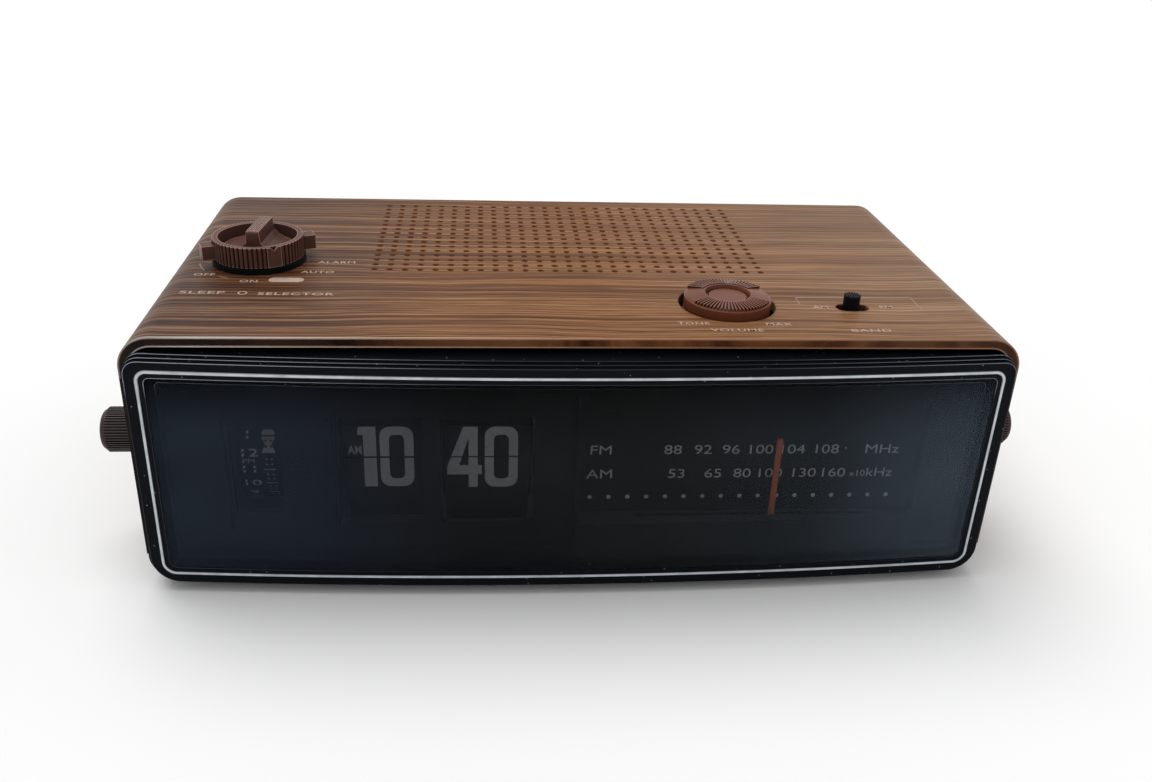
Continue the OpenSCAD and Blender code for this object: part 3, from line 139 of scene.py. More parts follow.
class Look:
    """A material with its Principled shader and short calls for the nodes that feed it."""

    def __init__(self, name, colour, rough, **sockets):
        self.mat = bpy.data.materials.new(name)
        self.mat.use_nodes = True
        self.tree = self.mat.node_tree
        self.shader = self.tree.nodes["Principled BSDF"]
        self.set("Base Color", colour)
        self.set("Roughness", rough)
        for socket, value in sockets.items():
            self.set(socket.replace("_", " "), value)

    def feed(self, socket, value):
        """Links a socket to a node's output, or sets it to a plain value."""
        if isinstance(value, bpy.types.NodeSocket):
            self.tree.links.new(value, socket)
        else:
            socket.default_value = value

    def set(self, socket, value):
        self.feed(self.shader.inputs[socket], value)

    def node(self, kind, **inputs):
        made = self.tree.nodes.new(kind)
        for name, value in inputs.items():
            self.feed(made.inputs[name.replace("_", " ")], value)
        return made

    def coords(self):
        """Object coordinates, in metres."""
        return self.node("ShaderNodeTexCoord").outputs["Object"]

    def along(self, axis):
        """Object coordinate along one axis, in metres."""
        return self.node("ShaderNodeSeparateXYZ", Vector=self.coords()).outputs[axis]

    def stretched(self, scale, vector=None):
        """Object coordinates, or others, times one scale or a scale for each axis."""
        if not isinstance(scale, tuple):
            scale = (scale, scale, scale)
        if vector is None:
            vector = self.coords()
        return self.node("ShaderNodeMapping", Vector=vector, Scale=scale).outputs["Vector"]

    def noise(self, scale, detail=3.0, rough=0.5, vector=None):
        """Soft noise from 0 to 1, at one scale or a scale for each axis."""
        spread = self.stretched(scale, vector)
        made = self.node("ShaderNodeTexNoise", Vector=spread, Scale=1.0, Detail=detail, Roughness=rough)
        return made.outputs["Fac"]

    def ramp(self, fac, *stops):
        """Socket colours at their stops along a 0-1 value."""
        made = self.node("ShaderNodeValToRGB", Fac=fac)
        band = made.color_ramp
        while len(band.elements) < len(stops):
            band.elements.new(1.0)
        for stop, (at, colour) in zip(band.elements, stops):
            stop.position = at
            stop.color = colour
        return made.outputs["Color"]

    def tones(self, fac, *stops):
        """Screen colours at their stops along a 0-1 value."""
        return self.ramp(fac, *((at, linear(*tone)) for at, tone in stops))

    def mix(self, fac, a, b, how="MIX"):
        made = self.node("ShaderNodeMix")
        made.data_type = "RGBA"
        made.blend_type = how
        for socket, value in ((0, fac), (MIX_A, a), (MIX_B, b)):
            self.feed(made.inputs[socket], value)
        return made.outputs[MIX_OUT]

    def tinted(self, base, tint):
        return self.mix(1.0, base, tint, "MULTIPLY")

    def maths(self, how, *values):
        made = self.node("ShaderNodeMath")
        made.operation = how
        for socket, value in zip(made.inputs, values):
            self.feed(socket, value)
        return made.outputs[0]

    def product(self, first, *others):
        for other in others:
            first = self.maths("MULTIPLY", first, other)
        return first

    def above(self, value, level):
        """1 where a value is above a level, 0 elsewhere."""
        return self.maths("GREATER_THAN", value, level)

    def below(self, value, level):
        """1 where a value is below a level, 0 elsewhere."""
        return self.maths("LESS_THAN", value, level)

    def within(self, value, middle, reach):
        """1 where a value is within reach of a middle, 0 elsewhere."""
        return self.maths("COMPARE", value, middle, reach)

    def between(self, value, low, high):
        """How far a value lies from low to high, kept to 0-1."""
        return self.node("ShaderNodeMapRange", Value=value, From_Min=low, From_Max=high).outputs["Result"]

    def span(self, fac, low, high):
        """A 0-1 value spread from low to high."""
        return self.node("ShaderNodeMapRange", Value=fac, To_Min=low, To_Max=high).outputs["Result"]

    def dot(self, a, b):
        made = self.node("ShaderNodeVectorMath")
        made.operation = "DOT_PRODUCT"
        self.feed(made.inputs[0], a)
        self.feed(made.inputs[1], b)
        return made.outputs["Value"]

    def normal(self):
        """Normal of the face itself."""
        return self.node("ShaderNodeNewGeometry").outputs["True Normal"]

    def facing(self, axis):
        """How far the surface faces along an axis of the row, from -1 to 1."""
        return self.dot(self.normal(), axis)

    def softened(self, radius, samples):
        """Normal of the surface with its edges rounded to a radius."""
        made = self.node("ShaderNodeBevel", Radius=radius * MM)
        made.samples = samples
        return made.outputs["Normal"]

    def air(self, reach):
        """How open the piece's own surface is within a reach, from 0 to 1."""
        made = self.node("ShaderNodeAmbientOcclusion", Distance=reach * MM)
        made.only_local = True
        return made.outputs["AO"]

    def arris(self, radius):
        """How far an outside edge within the radius turns the surface, from 0 on a flat to 1."""
        turn = self.dot(self.softened(radius, ARRIS_SAMPLES), self.normal())
        bent = self.between(turn, *ARRIS_TURN)
        return self.product(bent, self.between(self.air(radius * 2), *ARRIS_AIR))

    def bump(self, height, depth, strength, edge=0.0):
        """Fine relief, over edges softened to the given radius."""
        made = self.node("ShaderNodeBump", Height=height, Strength=strength, Distance=depth * MM)
        if edge:
            self.feed(made.inputs["Normal"], self.softened(edge, EDGE_SAMPLES))
        self.set("Normal", made.outputs["Normal"])


def across(look):
    """How far a point lies from the sleeve's left side to its right, from 0 to 1."""
    return look.between(look.along("X"), -HALF_W * MM, HALF_W * MM)


# Wood print: how far its lines wander, its noise scales, and its strength and gloss from left to right
WANDER = 7.0
WANDER_SCALE = (8, 12, 8)
BAND_SCALE = (1.6, 45, 1.6)
RING_SCALE = (0.9, 330, 0.9)
THIN_SCALE = (3.0, 820, 3.0)
FIBRE_SCALE = (40, 1500, 40)
PATCH_SCALE = (7, 9, 7)
GRAIN_STRENGTH = (1.0, 0.55)
WOOD_GLOSS = ((0.0, 0.10), (0.3, 0.055), (0.5, 0.035), (0.75, 0.06), (1.0, 0.10))
WOOD_ROUGH = (0.36, 0.5)

# Tints of the sleeve from left to right: painted light and sheen over all of it, painted shade on its cut
# front edge, and a painted highlight along the arris over that edge
SLEEVE_LIGHT_ACROSS = ((0.0, (208, 216, 236)), (0.2, (226, 230, 236)), (0.34, (252, 252, 250)), (0.55, (246, 242, 236)),
        (0.8, (234, 240, 248)), (1.0, (224, 234, 248)))
CUT_EDGE_SHADE = ((0.0, (66, 60, 62)), (0.04, (96, 84, 80)), (0.25, (110, 92, 84)), (0.5, (190, 176, 166)),
            (0.7, (200, 180, 170)), (1.0, (150, 130, 120)))
SHINE = ((0.0, (150, 142, 142)), (0.08, (226, 214, 208)), (0.3, (204, 166, 138)), (0.6, (190, 134, 98)),
         (1.0, (160, 118, 90)))

# Depth and radius of that arris and the sleeve's corner; the grille's half width, middle and half depth, and
# the painted light on the walls of its holes, a much lighter tone than their shade leaves them
SHINE_DEEP = 3.0
SHINE_R = 1.3
CORNER = 14.0
GRILLE_X = 75.0
GRILLE_Y = 98.0
GRILLE_HALF = 50.0
HOLE_WALL_LIGHT = (158, 98, 54)


def wandering(look):
    """Object coordinates shifted a little across the grain."""
    wander = look.noise(WANDER_SCALE, detail=2)
    shift = look.node("ShaderNodeCombineXYZ", Y=look.span(wander, -WANDER * MM, WANDER * MM))
    added = look.node("ShaderNodeVectorMath")
    look.feed(added.inputs[0], look.coords())
    look.feed(added.inputs[1], shift.outputs["Vector"])
    return added.outputs["Vector"]


def grille_wall(look):
    """1 on the walls of the grille's holes, 0 elsewhere."""
    upright = look.within(look.facing(UP), 0.0, WALL_FACE)
    beside = look.within(look.along("X"), 0.0, GRILLE_X * MM)
    deep = look.within(look.along("Y"), y_at(GRILLE_Y), GRILLE_HALF * MM)
    return look.product(upright, beside, deep)


def front_arris(look):
    """1 along the sleeve's upper front arris, where the painted highlight goes, 0 away from it."""
    fore = look.below(look.along("Y"), y_at(SHINE_DEEP))
    upper = look.above(look.along("Z"), z_at(TOP_Z - CORNER))
    return look.product(fore, upper, look.arris(SHINE_R))


def wood():
    """Printed wood grain, thin dark lines across the cabinet wandering a little over soft bands, with
    painted light and shade.
    """
    look = Look("wood_grain", linear(140, 97, 70), 0.4)
    bent = wandering(look)
    bands = look.noise(BAND_SCALE, detail=2, vector=bent)
    rings = look.noise(RING_SCALE, detail=1, rough=0.4, vector=bent)
    thin = look.noise(THIN_SCALE, detail=2, vector=bent)
    fibre = look.noise(FIBRE_SCALE, detail=3, rough=0.65, vector=bent)
    tone = look.tones(bands, (0.30, (166, 120, 84)), (0.52, (185, 138, 97)), (0.74, (204, 159, 118)))
    line = look.tones(rings, (0.41, WHITE), (0.46, (206, 184, 166)), (0.50, (90, 58, 40)),
                      (0.53, (206, 184, 166)), (0.58, WHITE))
    fine = look.tones(thin, (0.38, (98, 70, 52)), (0.58, WHITE))
    pores = look.tones(fibre, (0.32, (146, 116, 92)), (0.62, WHITE))
    side = across(look)
    strength = look.span(side, *GRAIN_STRENGTH)
    base = look.mix(strength, tone, look.tinted(tone, look.mix(1.0, line, fine, "DARKEN")))
    base = look.mix(strength, base, pores, "MULTIPLY")
    patch = look.noise(PATCH_SCALE, detail=2)
    base = look.tinted(base, look.tones(patch, (0.3, (228, 222, 218)), (0.7, (255, 252, 248))))
    # Painted light and sheen: lighter and warmer in the middle of the sleeve, darker and bluer towards its
    # ends
    base = look.tinted(base, look.tones(side, *SLEEVE_LIGHT_ACROSS))
    # Painted shade on the cut front edge: near black at the left, lighter further right where the light
    # falls
    cut = look.above(look.facing(FORWARDS), FRONT_FACE)
    base = look.mix(cut, base, look.tinted(base, look.tones(side, *CUT_EDGE_SHADE)))
    # Painted light: the walls of the grille's holes made much lighter than their shade
    base = look.mix(grille_wall(look), base, linear(*HOLE_WALL_LIGHT))
    # Painted highlight along the upper front arris
    look.set("Base Color", look.mix(front_arris(look), base, look.tones(side, *SHINE)))
    gloss = look.ramp(side, *((at, (level, level, level, 1.0)) for at, level in WOOD_GLOSS))
    look.set("Specular IOR Level", gloss)
    look.set("Roughness", look.span(fibre, *WOOD_ROUGH))
    look.bump(line, depth=0.03, strength=0.3, edge=0.7)
    return look.mat


# Plastic: noise scales of its mottle and its gloss, how far its roughness varies, and its dust: a scale, the
# size of a speck in its cell, the share of cells without one, and its tone
MOTTLE_SCALE = 60
SHEEN_SCALE = 35
PLASTIC_ROUGH = (-0.06, 0.08)
DUST_SCALE = 420
SPECK = (0.11, 0.05)
DUST_FREE = 0.6
DUST_TONE = (150, 154, 158)

# Fine ribs, painted as lit and shaded lines: the way across them, their pitch and the height they start
# above;
# then their dark and light shares, and the part of a wave over which dark turns to light
BUTTON_RIBS = ((0.71, 0.71, 0.0), 0.8, 92.0)
GRIP_RIBS = ((0.995, -0.105, 0.0), 1.05, 100.0)
RIB_SHARES = (0.25, 1.6)
RIB_CREST = 0.8

# Painted highlight along edges: radius of the bright line, the heights where it comes to full strength, and
# its share below; on the bezel, its tone from left to right
GLINT_R = 0.35
GLINT_Z = (70.0, 74.0)
GLINT_LOW = 0.12
BEZEL_GLINT = ((0.0, (196, 202, 214)), (0.14, (176, 182, 194)), (0.4, (70, 72, 76)), (0.7, (60, 62, 66)),
               (1.0, (150, 158, 168)))


def dusted(look, base, share):
    """Pale specks in some of the cells of a fine pattern."""
    cells = look.node("ShaderNodeTexVoronoi", Vector=look.stretched(DUST_SCALE), Scale=1.0)
    lot = look.node("ShaderNodeSeparateXYZ", Vector=cells.outputs["Color"]).outputs["X"]
    speck = look.between(cells.outputs["Distance"], *SPECK)
    return look.mix(look.product(speck, look.above(lot, DUST_FREE), share), base, linear(*DUST_TONE))


def painted_valley_shade(look, base, reach):
    """Painted shade: darker in valleys, where the surface closes in within the reach."""
    return look.tinted(base, look.tones(look.air(reach), (0.45, (96, 90, 90)), (0.85, WHITE)))


def painted_rib_shading(look, base, colour, ribs):
    """Painted light and shade of fine ribs: dark and light lines on a level top."""
    way, pitch, start = ribs
    lined = look.stretched(tuple(w / (pitch * MM) for w in way))
    split = look.node("ShaderNodeSeparateXYZ", Vector=lined)
    turn = look.product(look.maths("ADD", split.outputs["X"], split.outputs["Y"]), 2 * math.pi)
    crest = look.between(look.maths("SINE", turn), -RIB_CREST, RIB_CREST)
    top = look.product(look.above(look.facing(UP), LEVEL_FACE), look.above(look.along("Z"), z_at(start)))
    dark, light = (shade(colour, share) for share in RIB_SHARES)
    return look.mix(top, base, look.ramp(crest, (0.0, dark), (1.0, light)))


def glinting(look, base, glint):
    """Painted highlights: bright lines along outside edges, in tones from left to right and weaker low down.
    """
    bright = look.tones(across(look), *glint)
    high = look.between(look.along("Z"), z_at(GLINT_Z[0]), z_at(GLINT_Z[1]))
    part = look.product(look.arris(GLINT_R), look.span(high, GLINT_LOW, 1.0))
    return look.mix(part, base, bright, "ADD")


def moulded(name, colour, rough, spread=0.12, grain=2600, depth=0.012, gloss=0.3, edge=0.25, dust=0.0,
            valley=0.0, ribs=(), glint=()):
    """Moulded plastic: mottled colour, uneven gloss and fine grain, with dust, painted valley shade, painted
    rib shading or painted edge highlights.
    """
    look = Look(name, colour, rough, Specular_IOR_Level=gloss)
    mottle = look.noise(MOTTLE_SCALE, detail=4)
    base = look.ramp(mottle, (0.32, shade(colour, 1 - spread)), (0.68, shade(colour, 1 + spread)))
    if dust:
        base = dusted(look, base, dust)
    if valley:
        base = painted_valley_shade(look, base, valley)
    if ribs:
        base = painted_rib_shading(look, base, colour, ribs)
    if glint:
        base = glinting(look, base, glint)
    look.set("Base Color", base)
    sheen = look.noise(SHEEN_SCALE, detail=3)
    look.set("Roughness", look.span(sheen, *(rough + change for change in PLASTIC_ROUGH)))
    look.bump(look.noise(grain, detail=2), depth, strength=0.5, edge=edge)
    return look.mat


METAL_ROUGH = (-0.06, 0.1)
METAL_DARK = 0.9


def metal(name, colour, rough, streak=(40, 900, 900)):
    """Plated or drawn metal with fine streaks and uneven gloss."""
    look = Look(name, colour, rough, Metallic=1.0)
    lines = look.noise(streak, detail=3)
    look.set("Base Color", look.ramp(lines, (0.3, shade(colour, METAL_DARK)), (0.7, colour)))
    look.set("Roughness", look.span(lines, *(rough + change for change in METAL_ROUGH)))
    look.bump(lines, depth=0.008, strength=0.4)
    return look.mat


INK_SCALE = 700
INK_DARK = 0.82


def ink(name, colour, rough=0.55):
    """Screen-printed ink, a little uneven."""
    look = Look(name, colour, rough)
    worn = look.noise(INK_SCALE, detail=3)
    look.set("Base Color", look.ramp(worn, (0.3, shade(colour, INK_DARK)), (0.6, colour)))
    return look.mat


# Window: its half width, the heights where its top darkens, the tones of its painted sheen from left to
# right and at the top, its smears, and how much of the lens is solid
WINDOW_X = 140.0
WINDOW_TOP = (58.0, 78.0)
SHEEN_ACROSS = ((0.0, (49, 58, 71)), (0.18, (43, 51, 62)), (0.36, (35, 37, 39)), (0.6, (39, 41, 42)),
        (0.78, (47, 53, 59)), (1.0, (84, 95, 108)))
TOP_DARK_TONE = (5, 6, 7)
TOP_DARKENING_SHARE = 0.85
SMEAR_SCALE = (16, 16, 40)
PALE_GREY = (222, 222, 222)
LENS_ALPHA = 0.42


def painted_sheen(look):
    """Painted sheen standing for the window's reflections: bluish towards its ends, neutral in the middle,
    darker along its top, with smears.
    """
    tone = look.tones(look.between(look.along("X"), -WINDOW_X * MM, WINDOW_X * MM), *SHEEN_ACROSS)
    rise = look.between(look.along("Z"), z_at(WINDOW_TOP[0]), z_at(WINDOW_TOP[1]))
    tone = look.mix(look.product(rise, TOP_DARKENING_SHARE), tone, linear(*TOP_DARK_TONE))
    smear = look.noise(SMEAR_SCALE, detail=4)
    return look.tinted(tone, look.tones(smear, (0.3, PALE_GREY), (0.7, WHITE)))


def smoked():
    """Smoked lens: a dark see-through sheet with a polished face."""
    look = Look("smoked_lens", linear(12, 14, 17), 0.08, IOR=1.45, Alpha=LENS_ALPHA,
                Specular_IOR_Level=0.04)
    # Painted reflection: the lens's colour is its painted sheen
    look.set("Base Color", painted_sheen(look))
    look.set("Roughness", look.span(look.noise(20, detail=2), 0.16, 0.24))
    return look.mat


def panel():
    """Matt dial panel behind the lens, carrying the lens's painted sheen, with painted light on its ledge.
    """
    look = Look("panel_black", linear(24, 25, 27), 0.6, Specular_IOR_Level=0.1)
    # Painted light on the ledge's upward faces; elsewhere the same painted sheen as the lens, so the two
    # match
    ledge = look.above(look.facing(UP), LEDGE_FACE)
    sheen_behind = look.tinted(painted_sheen(look), linear(*PALE_GREY))
    look.set("Base Color", look.mix(ledge, sheen_behind, linear(90, 92, 96)))
    look.bump(look.noise(400, detail=2), depth=0.002, strength=0.5)
    return look.mat


def foil():
    """Bright trim line: pale satin foil."""
    look = Look("trim_silver", linear(206, 214, 218), 0.4, Metallic=0.15)
    rub = look.noise((180, 900, 180), detail=3)
    look.set("Base Color", look.tones(rub, (0.25, (170, 178, 184)), (0.6, (204, 211, 216))))
    look.set("Roughness", look.span(rub, 0.34, 0.48))
    return look.mat


def linen():
    """Dial cord: twisted pale thread."""
    look = Look("cord_linen", linear(212, 198, 164), 0.9)
    twist = look.noise(2500, detail=2)
    look.set("Base Color", look.tones(twist, (0.3, (168, 152, 118)), (0.7, (222, 208, 176))))
    look.bump(twist, depth=0.05, strength=0.6)
    return look.mat


def paper():
    """Speaker cone: dark pressed pulp."""
    look = Look("cone_paper", linear(58, 54, 48), 0.9)
    pulp = look.noise(900, detail=5, rough=0.65)
    look.set("Base Color", look.tones(pulp, (0.3, (40, 37, 33)), (0.7, (70, 65, 58))))
    look.bump(pulp, depth=0.06, strength=0.6)
    return look.mat


def lamp_glass():
    """Dial lamp: thin clear glass, a little cloudy."""
    look = Look("lamp_glass", linear(236, 230, 210), 0.12, Alpha=0.6)
    look.set("Roughness", look.span(look.noise(300, detail=3), 0.08, 0.2))
    return look.mat


def even(*tone):
    """The same tone from left to right."""
    return (0.0, tone), (1.0, tone)


# In these looks valley paints shade in valleys, ribs paints the light and shade of fine ribs, and glint
# paints edge highlights
LOOKS = {
    "wood_grain": wood(),
    "black_case": moulded("black_case", linear(26, 27, 29), 0.5, dust=0.25, gloss=0.2),
    "black_front": moulded("black_front", linear(9, 13, 18), 0.3, depth=0.004, dust=0.9, gloss=0.05,
                           edge=0.3, glint=BEZEL_GLINT),
    "trim_silver": foil(),
    "smoked_lens": smoked(),
    "panel_black": panel(),
    "rubber": moulded("rubber", linear(36, 36, 36), 0.85, depth=0.03),
    "screw_steel": metal("screw_steel", linear(176, 177, 178), 0.35),
    "plate_steel": metal("plate_steel", linear(160, 163, 165), 0.42),
    "shaft_steel": metal("shaft_steel", linear(196, 198, 201), 0.28),
    "leaf_black": moulded("leaf_black", linear(28, 28, 30), 0.5, depth=0.004, gloss=0.15),
    "drum_black": moulded("drum_black", linear(30, 30, 32), 0.5, gloss=0.15),
    "gear_nylon": moulded("gear_nylon", linear(216, 211, 196), 0.5, spread=0.06),
    "brass": metal("brass", linear(200, 166, 96), 0.3),
    "knob_brown": moulded("knob_brown", linear(108, 60, 42), 0.26, depth=0.004, gloss=0.1, edge=0.15,
                          valley=1.2, glint=((0.0, (90, 70, 60)), (1.0, (110, 74, 58)))),
    "pointer_red": moulded("pointer_red", linear(255, 136, 98), 0.5, spread=0.08),
    "cord_linen": linen(),
    "button_black": moulded("button_black", linear(9, 11, 15), 0.4, gloss=0.08, valley=0.8,
                            ribs=BUTTON_RIBS),
    "part_grey": moulded("part_grey", linear(158, 158, 160), 0.5),
    "cone_paper": paper(),
    "magnet": moulded("magnet", linear(84, 85, 88), 0.5, depth=0.03),
    "board_brown": moulded("board_brown", linear(138, 92, 48), 0.5, grain=900),
    "can_tin": metal("can_tin", linear(190, 192, 194), 0.4, streak=(300, 300, 40)),
    "capacitor_blue": moulded("capacitor_blue", linear(48, 76, 124), 0.4),
    "core_iron": metal("core_iron", linear(90, 90, 92), 0.55, streak=(60, 1400, 60)),
    "coil_copper": moulded("coil_copper", linear(180, 136, 66), 0.45, grain=700, depth=0.05),
    "ferrite": moulded("ferrite", linear(60, 57, 55), 0.6, depth=0.03),
    "lamp_glass": lamp_glass(),
}

# Knobs whose plastic differs from their slot's: the selector's own brown, and the end knobs painted darker
# for the shade they stand in
SELECTOR_BROWN = moulded("selector_brown", linear(94, 64, 56), 0.34, depth=0.004, gloss=0.05, edge=0.15,
                         valley=1.2, ribs=GRIP_RIBS, glint=even(180, 152, 142))
# Painted shade: the end knobs' brown darkened for the shade they stand in, with painted highlights on their
# edges
SHADED_END_KNOB = moulded("end_knob_shaded_brown", linear(50, 34, 34), 0.34, depth=0.004, gloss=0.2, edge=0.12,
                   valley=1.0, glint=even(250, 236, 240))

for part in frame["record"]["subparts"]:
    mesh = nodes[part["node"]].data
    mesh.materials.clear()
    mesh.materials.append(LOOKS[part["material_slot"]])
for name in ("alarm_knob", "time_knob", "tuning_knob"):
    nodes[name].data.materials[0] = SHADED_END_KNOB
for name in ("selector_ring", "selector_hub", "sleep_knob"):
    nodes[name].data.materials[0] = SELECTOR_BROWN
# The selector's base disc is black and as tall as the dark band under the ring, so it also stands for the
# shade there
nodes["selector_base"].data.materials[0] = LOOKS["button_black"]

# Print and digits: flat shapes in (right, up) millimetres, thickened and laid on a surface
PRINT_T = 0.02
PRINT_LIFT = 0.01

# The built-in face: its capitals as a share of its size, steps along a curve, and the points that are welded
CAP_SHARE = 0.729
CURVE_STEPS = 4
WELD_SHARE = 1e-4

# How far a disc's corner arcs stop short of each other
DISC_GAP = 0.01


def flat_on(at, tilt=0.0, mirror=1.0, back=1.0):
    """Maps (u, v, w) to an upright plane through at, leaning back by tilt degrees; w counts outwards."""
    up = Vector((0, math.sin(math.radians(tilt)), math.cos(math.radians(tilt))))
    out = Vector((0, -up.z, up.y)) * back

    def to_row(u, v, w):
        return place(*at) + (Vector((u, 0, 0)) + up * (v * mirror) + out * w) * MM

    return to_row


def top_on(u, v, w):
    """Maps (u, v, w) to the cabinet's top."""
    return place(u, v, TOP_Z + w)


def shape(*loops):
    """Flat mesh from an outline and its holes."""
    flat = bmesh.new()
    points = [flat.verts.new((u, v, 0)) for loop in loops for u, v in loop]
    for tri in tessellate_polygon([[Vector((u, v, 0)) for u, v in loop] for loop in loops]):
        flat.faces.new([points[i] for i in tri])
    return flat


def rounded(x0, z0, x1, z1, r, steps=6):
    """Rounded rectangle between two corners."""
    corners = ((x1 - r, z0 + r, -90), (x1 - r, z1 - r, 0), (x0 + r, z1 - r, 90), (x0 + r, z0 + r, 180))
    outline = []
    for cx, cz, start in corners:
        for i in range(steps + 1):
            a = math.radians(start + 90 * i / steps)
            outline.append((cx + r * math.cos(a), cz + r * math.sin(a)))
    return outline


def centred(u, v, half_u, half_v, r, steps=6):
    """Rounded rectangle about its middle."""
    return rounded(u - half_u, v - half_v, u + half_u, v + half_v, r, steps)


def disc(radius):
    return centred(0, 0, radius, radius, radius - DISC_GAP)


def lettering(words, height, width=1.0, weight=0.0, spacing=1.0):
    """Flat mesh of words in the built-in face, centred, with capitals of the given height."""
    curve = bpy.data.curves.new("words", "FONT")
    curve.body = words
    curve.align_x = "CENTER"
    curve.align_y = "CENTER"
    curve.resolution_u = CURVE_STEPS
    curve.space_character = spacing
    curve.offset = weight
    text = add_object("words", curve)
    bpy.context.view_layer.update()
    mesh = bpy.data.meshes.new_from_object(text.evaluated_get(bpy.context.evaluated_depsgraph_get()))
    flat = bmesh.new()
    flat.from_mesh(mesh)
    bpy.data.objects.remove(text)
    bpy.data.meshes.remove(mesh)
    bpy.data.curves.remove(curve)
    size = height / CAP_SHARE
    for v in flat.verts:
        v.co = Vector((v.co.x * size * width, v.co.y * size, 0))
    bmesh.ops.remove_doubles(flat, verts=flat.verts, dist=height * WELD_SHARE)
    return flat


class Print:
    """One printed piece: flat shapes gathered on a surface, thickened into closed solids."""

    def __init__(self):
        self.solid = bmesh.new()

    def add(self, flat, to_row, below=None, above=None, at=(0, 0)):
        """Lays a flat mesh; below and above keep only that side of a level line."""
        for v in flat.verts:
            v.co += Vector((at[0], at[1], 0))
        for level, keep_low in ((below, True), (above, False)):
            if level is not None:
                bmesh.ops.bisect_plane(flat, geom=flat.verts[:] + flat.edges[:] + flat.faces[:],
                                       plane_co=(0, level, 0), plane_no=(0, 1, 0), clear_outer=keep_low,
                                       clear_inner=not keep_low)
        bmesh.ops.recalc_face_normals(flat, faces=flat.faces)
        grown = bmesh.ops.extrude_face_region(flat, geom=flat.faces[:])["geom"]
        for v in grown:
            if isinstance(v, bmesh.types.BMVert):
                v.co.z += PRINT_T
        kept = {}
        for v in flat.verts:
            kept[v] = self.solid.verts.new(to_row(v.co.x, v.co.y, v.co.z + PRINT_LIFT))
        for f in flat.faces:
            self.solid.faces.new([kept[v] for v in f.verts])
        flat.free()

    def make(self, name, body, slot, material):
        bmesh.ops.recalc_face_normals(self.solid, faces=self.solid.faces)
        mesh = bpy.data.meshes.new(name)
        self.solid.to_mesh(mesh)
        self.solid.free()
        mesh.materials.append(material)
        obj = add_object(name, mesh)
        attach(obj, body)


DIGIT_INK = ink("digit_ink", linear(226, 230, 236))
DIAL_INK = ink("dial_ink", linear(238, 240, 240))
DRUM_INK = ink("drum_ink", linear(236, 236, 232))
MARK_INK = ink("mark_ink", linear(208, 204, 198))
TOP_INK = ink("top_ink", linear(180, 156, 140), 0.6)
LINE_INK = ink("line_ink", linear(150, 122, 104), 0.6)

# Leaf clock: pivots and planes of the leaves, as the drums carry them
CLOCK_Y = 33.0
CLOCK_Z = 40.0
PIVOT_R = 23.0
LEAF_T = 0.25
SPLIT_Z = 41.1
SPLIT_GAP = 0.25
HOUR_LEAVES = 24
MINUTE_LEAVES = 60
HOUR_REST = 0.0
MINUTE_REST = 5.5
FLAP_TOP = 53.0

# How far the next number stays below the flap's top for each millimetre it stands behind the flap
SIGHT_DROP = 0.7

# Flip digits, measured from the left edge and the foot: stroke, heights, then each digit's own sizes
STROKE = 3.1
DIGIT_TOP = 52.7
DIGIT_LOW = 29.7
ZERO_W = 11.3
ZERO_OUTER_R = 3.6
ZERO_INNER_R = 1.9
ONE_STEM = (1.9, 6.2)
ONE_SLANT = 0.4
FOUR_W = 11.8
FOUR_STEM = (7.3, 10.4)
FOUR_BAR = (4.8, 8.3)
FOUR_PEAK = 5.5
FOUR_ELBOW = 7.7
FOUR_EYE = 4.1
FOUR_EYE_DROP = 4.3

# The digits that show and the ones that come next, each with its left edge
HOUR_NOW = (("1", -74.3), ("0", -66.9))
HOUR_NEXT = (("1", -74.3), ("1", -65.4))
MINUTE_NOW = (("4", -44.4), ("0", -31.6))
MINUTE_NEXT = (("4", -44.4), ("1", -29.7))

# The half of the day, beside the hour
HALF_DAY = "AM"
HALF_DAY_AT = (-75.2, 43.7)
HALF_DAY_CAP = 3.3
HALF_DAY_WIDE = 0.72
HALF_DAY_WEIGHT = 0.02


def pivot(count, ahead):
    """Place of a leaf's pivot, counted in leaves from the one that falls next."""
    step = 360 / count
    half = math.radians(step / 2)
    first = step / 2 + math.degrees(math.asin((SPLIT_Z - CLOCK_Z) / (PIVOT_R * math.cos(half))))
    a = math.radians(first + ahead * step)
    return CLOCK_Y - PIVOT_R * math.cos(a), CLOCK_Z + PIVOT_R * math.sin(a)


def zero(x, low, top):
    return shape(rounded(x, low, x + ZERO_W, top, ZERO_OUTER_R),
                 rounded(x + STROKE, low + STROKE, x + ZERO_W - STROKE, top - STROKE, ZERO_INNER_R))


def one(x, low, top):
    left, right = (x + edge for edge in ONE_STEM)
    flag = top - STROKE
    return shape([(left, low), (right, low), (right, top), (x + ONE_SLANT, top), (x, flag), (left, flag)])


def four(x, low, top):
    left, right = (x + edge for edge in FOUR_STEM)
    under, over = (low + edge for edge in FOUR_BAR)
    end = x + FOUR_W
    outline = [(left, low), (right, low), (right, under), (end, under), (end, over), (right, over),
               (right, top), (x + FOUR_PEAK, top), (x, low + FOUR_ELBOW), (x, under), (left, under)]
    eye = [(x + FOUR_EYE, over), (left, over), (left, top - FOUR_EYE_DROP)]
    return shape(outline, eye)


GLYPHS = {"0": zero, "1": one, "4": four}


def glyph(digit, x):
    """A flip digit with its left edge at x."""
    return GLYPHS[digit](x, DIGIT_LOW, DIGIT_TOP)


def leaf_face(y, z, lean=0.0):
    """Front face of a leaf with its pivot at (y, z), leaning back by some degrees."""
    turn = math.radians(lean)
    return flat_on((0, y - LEAF_T / 2 * math.cos(turn), z + LEAF_T / 2 * math.sin(turn)), lean)


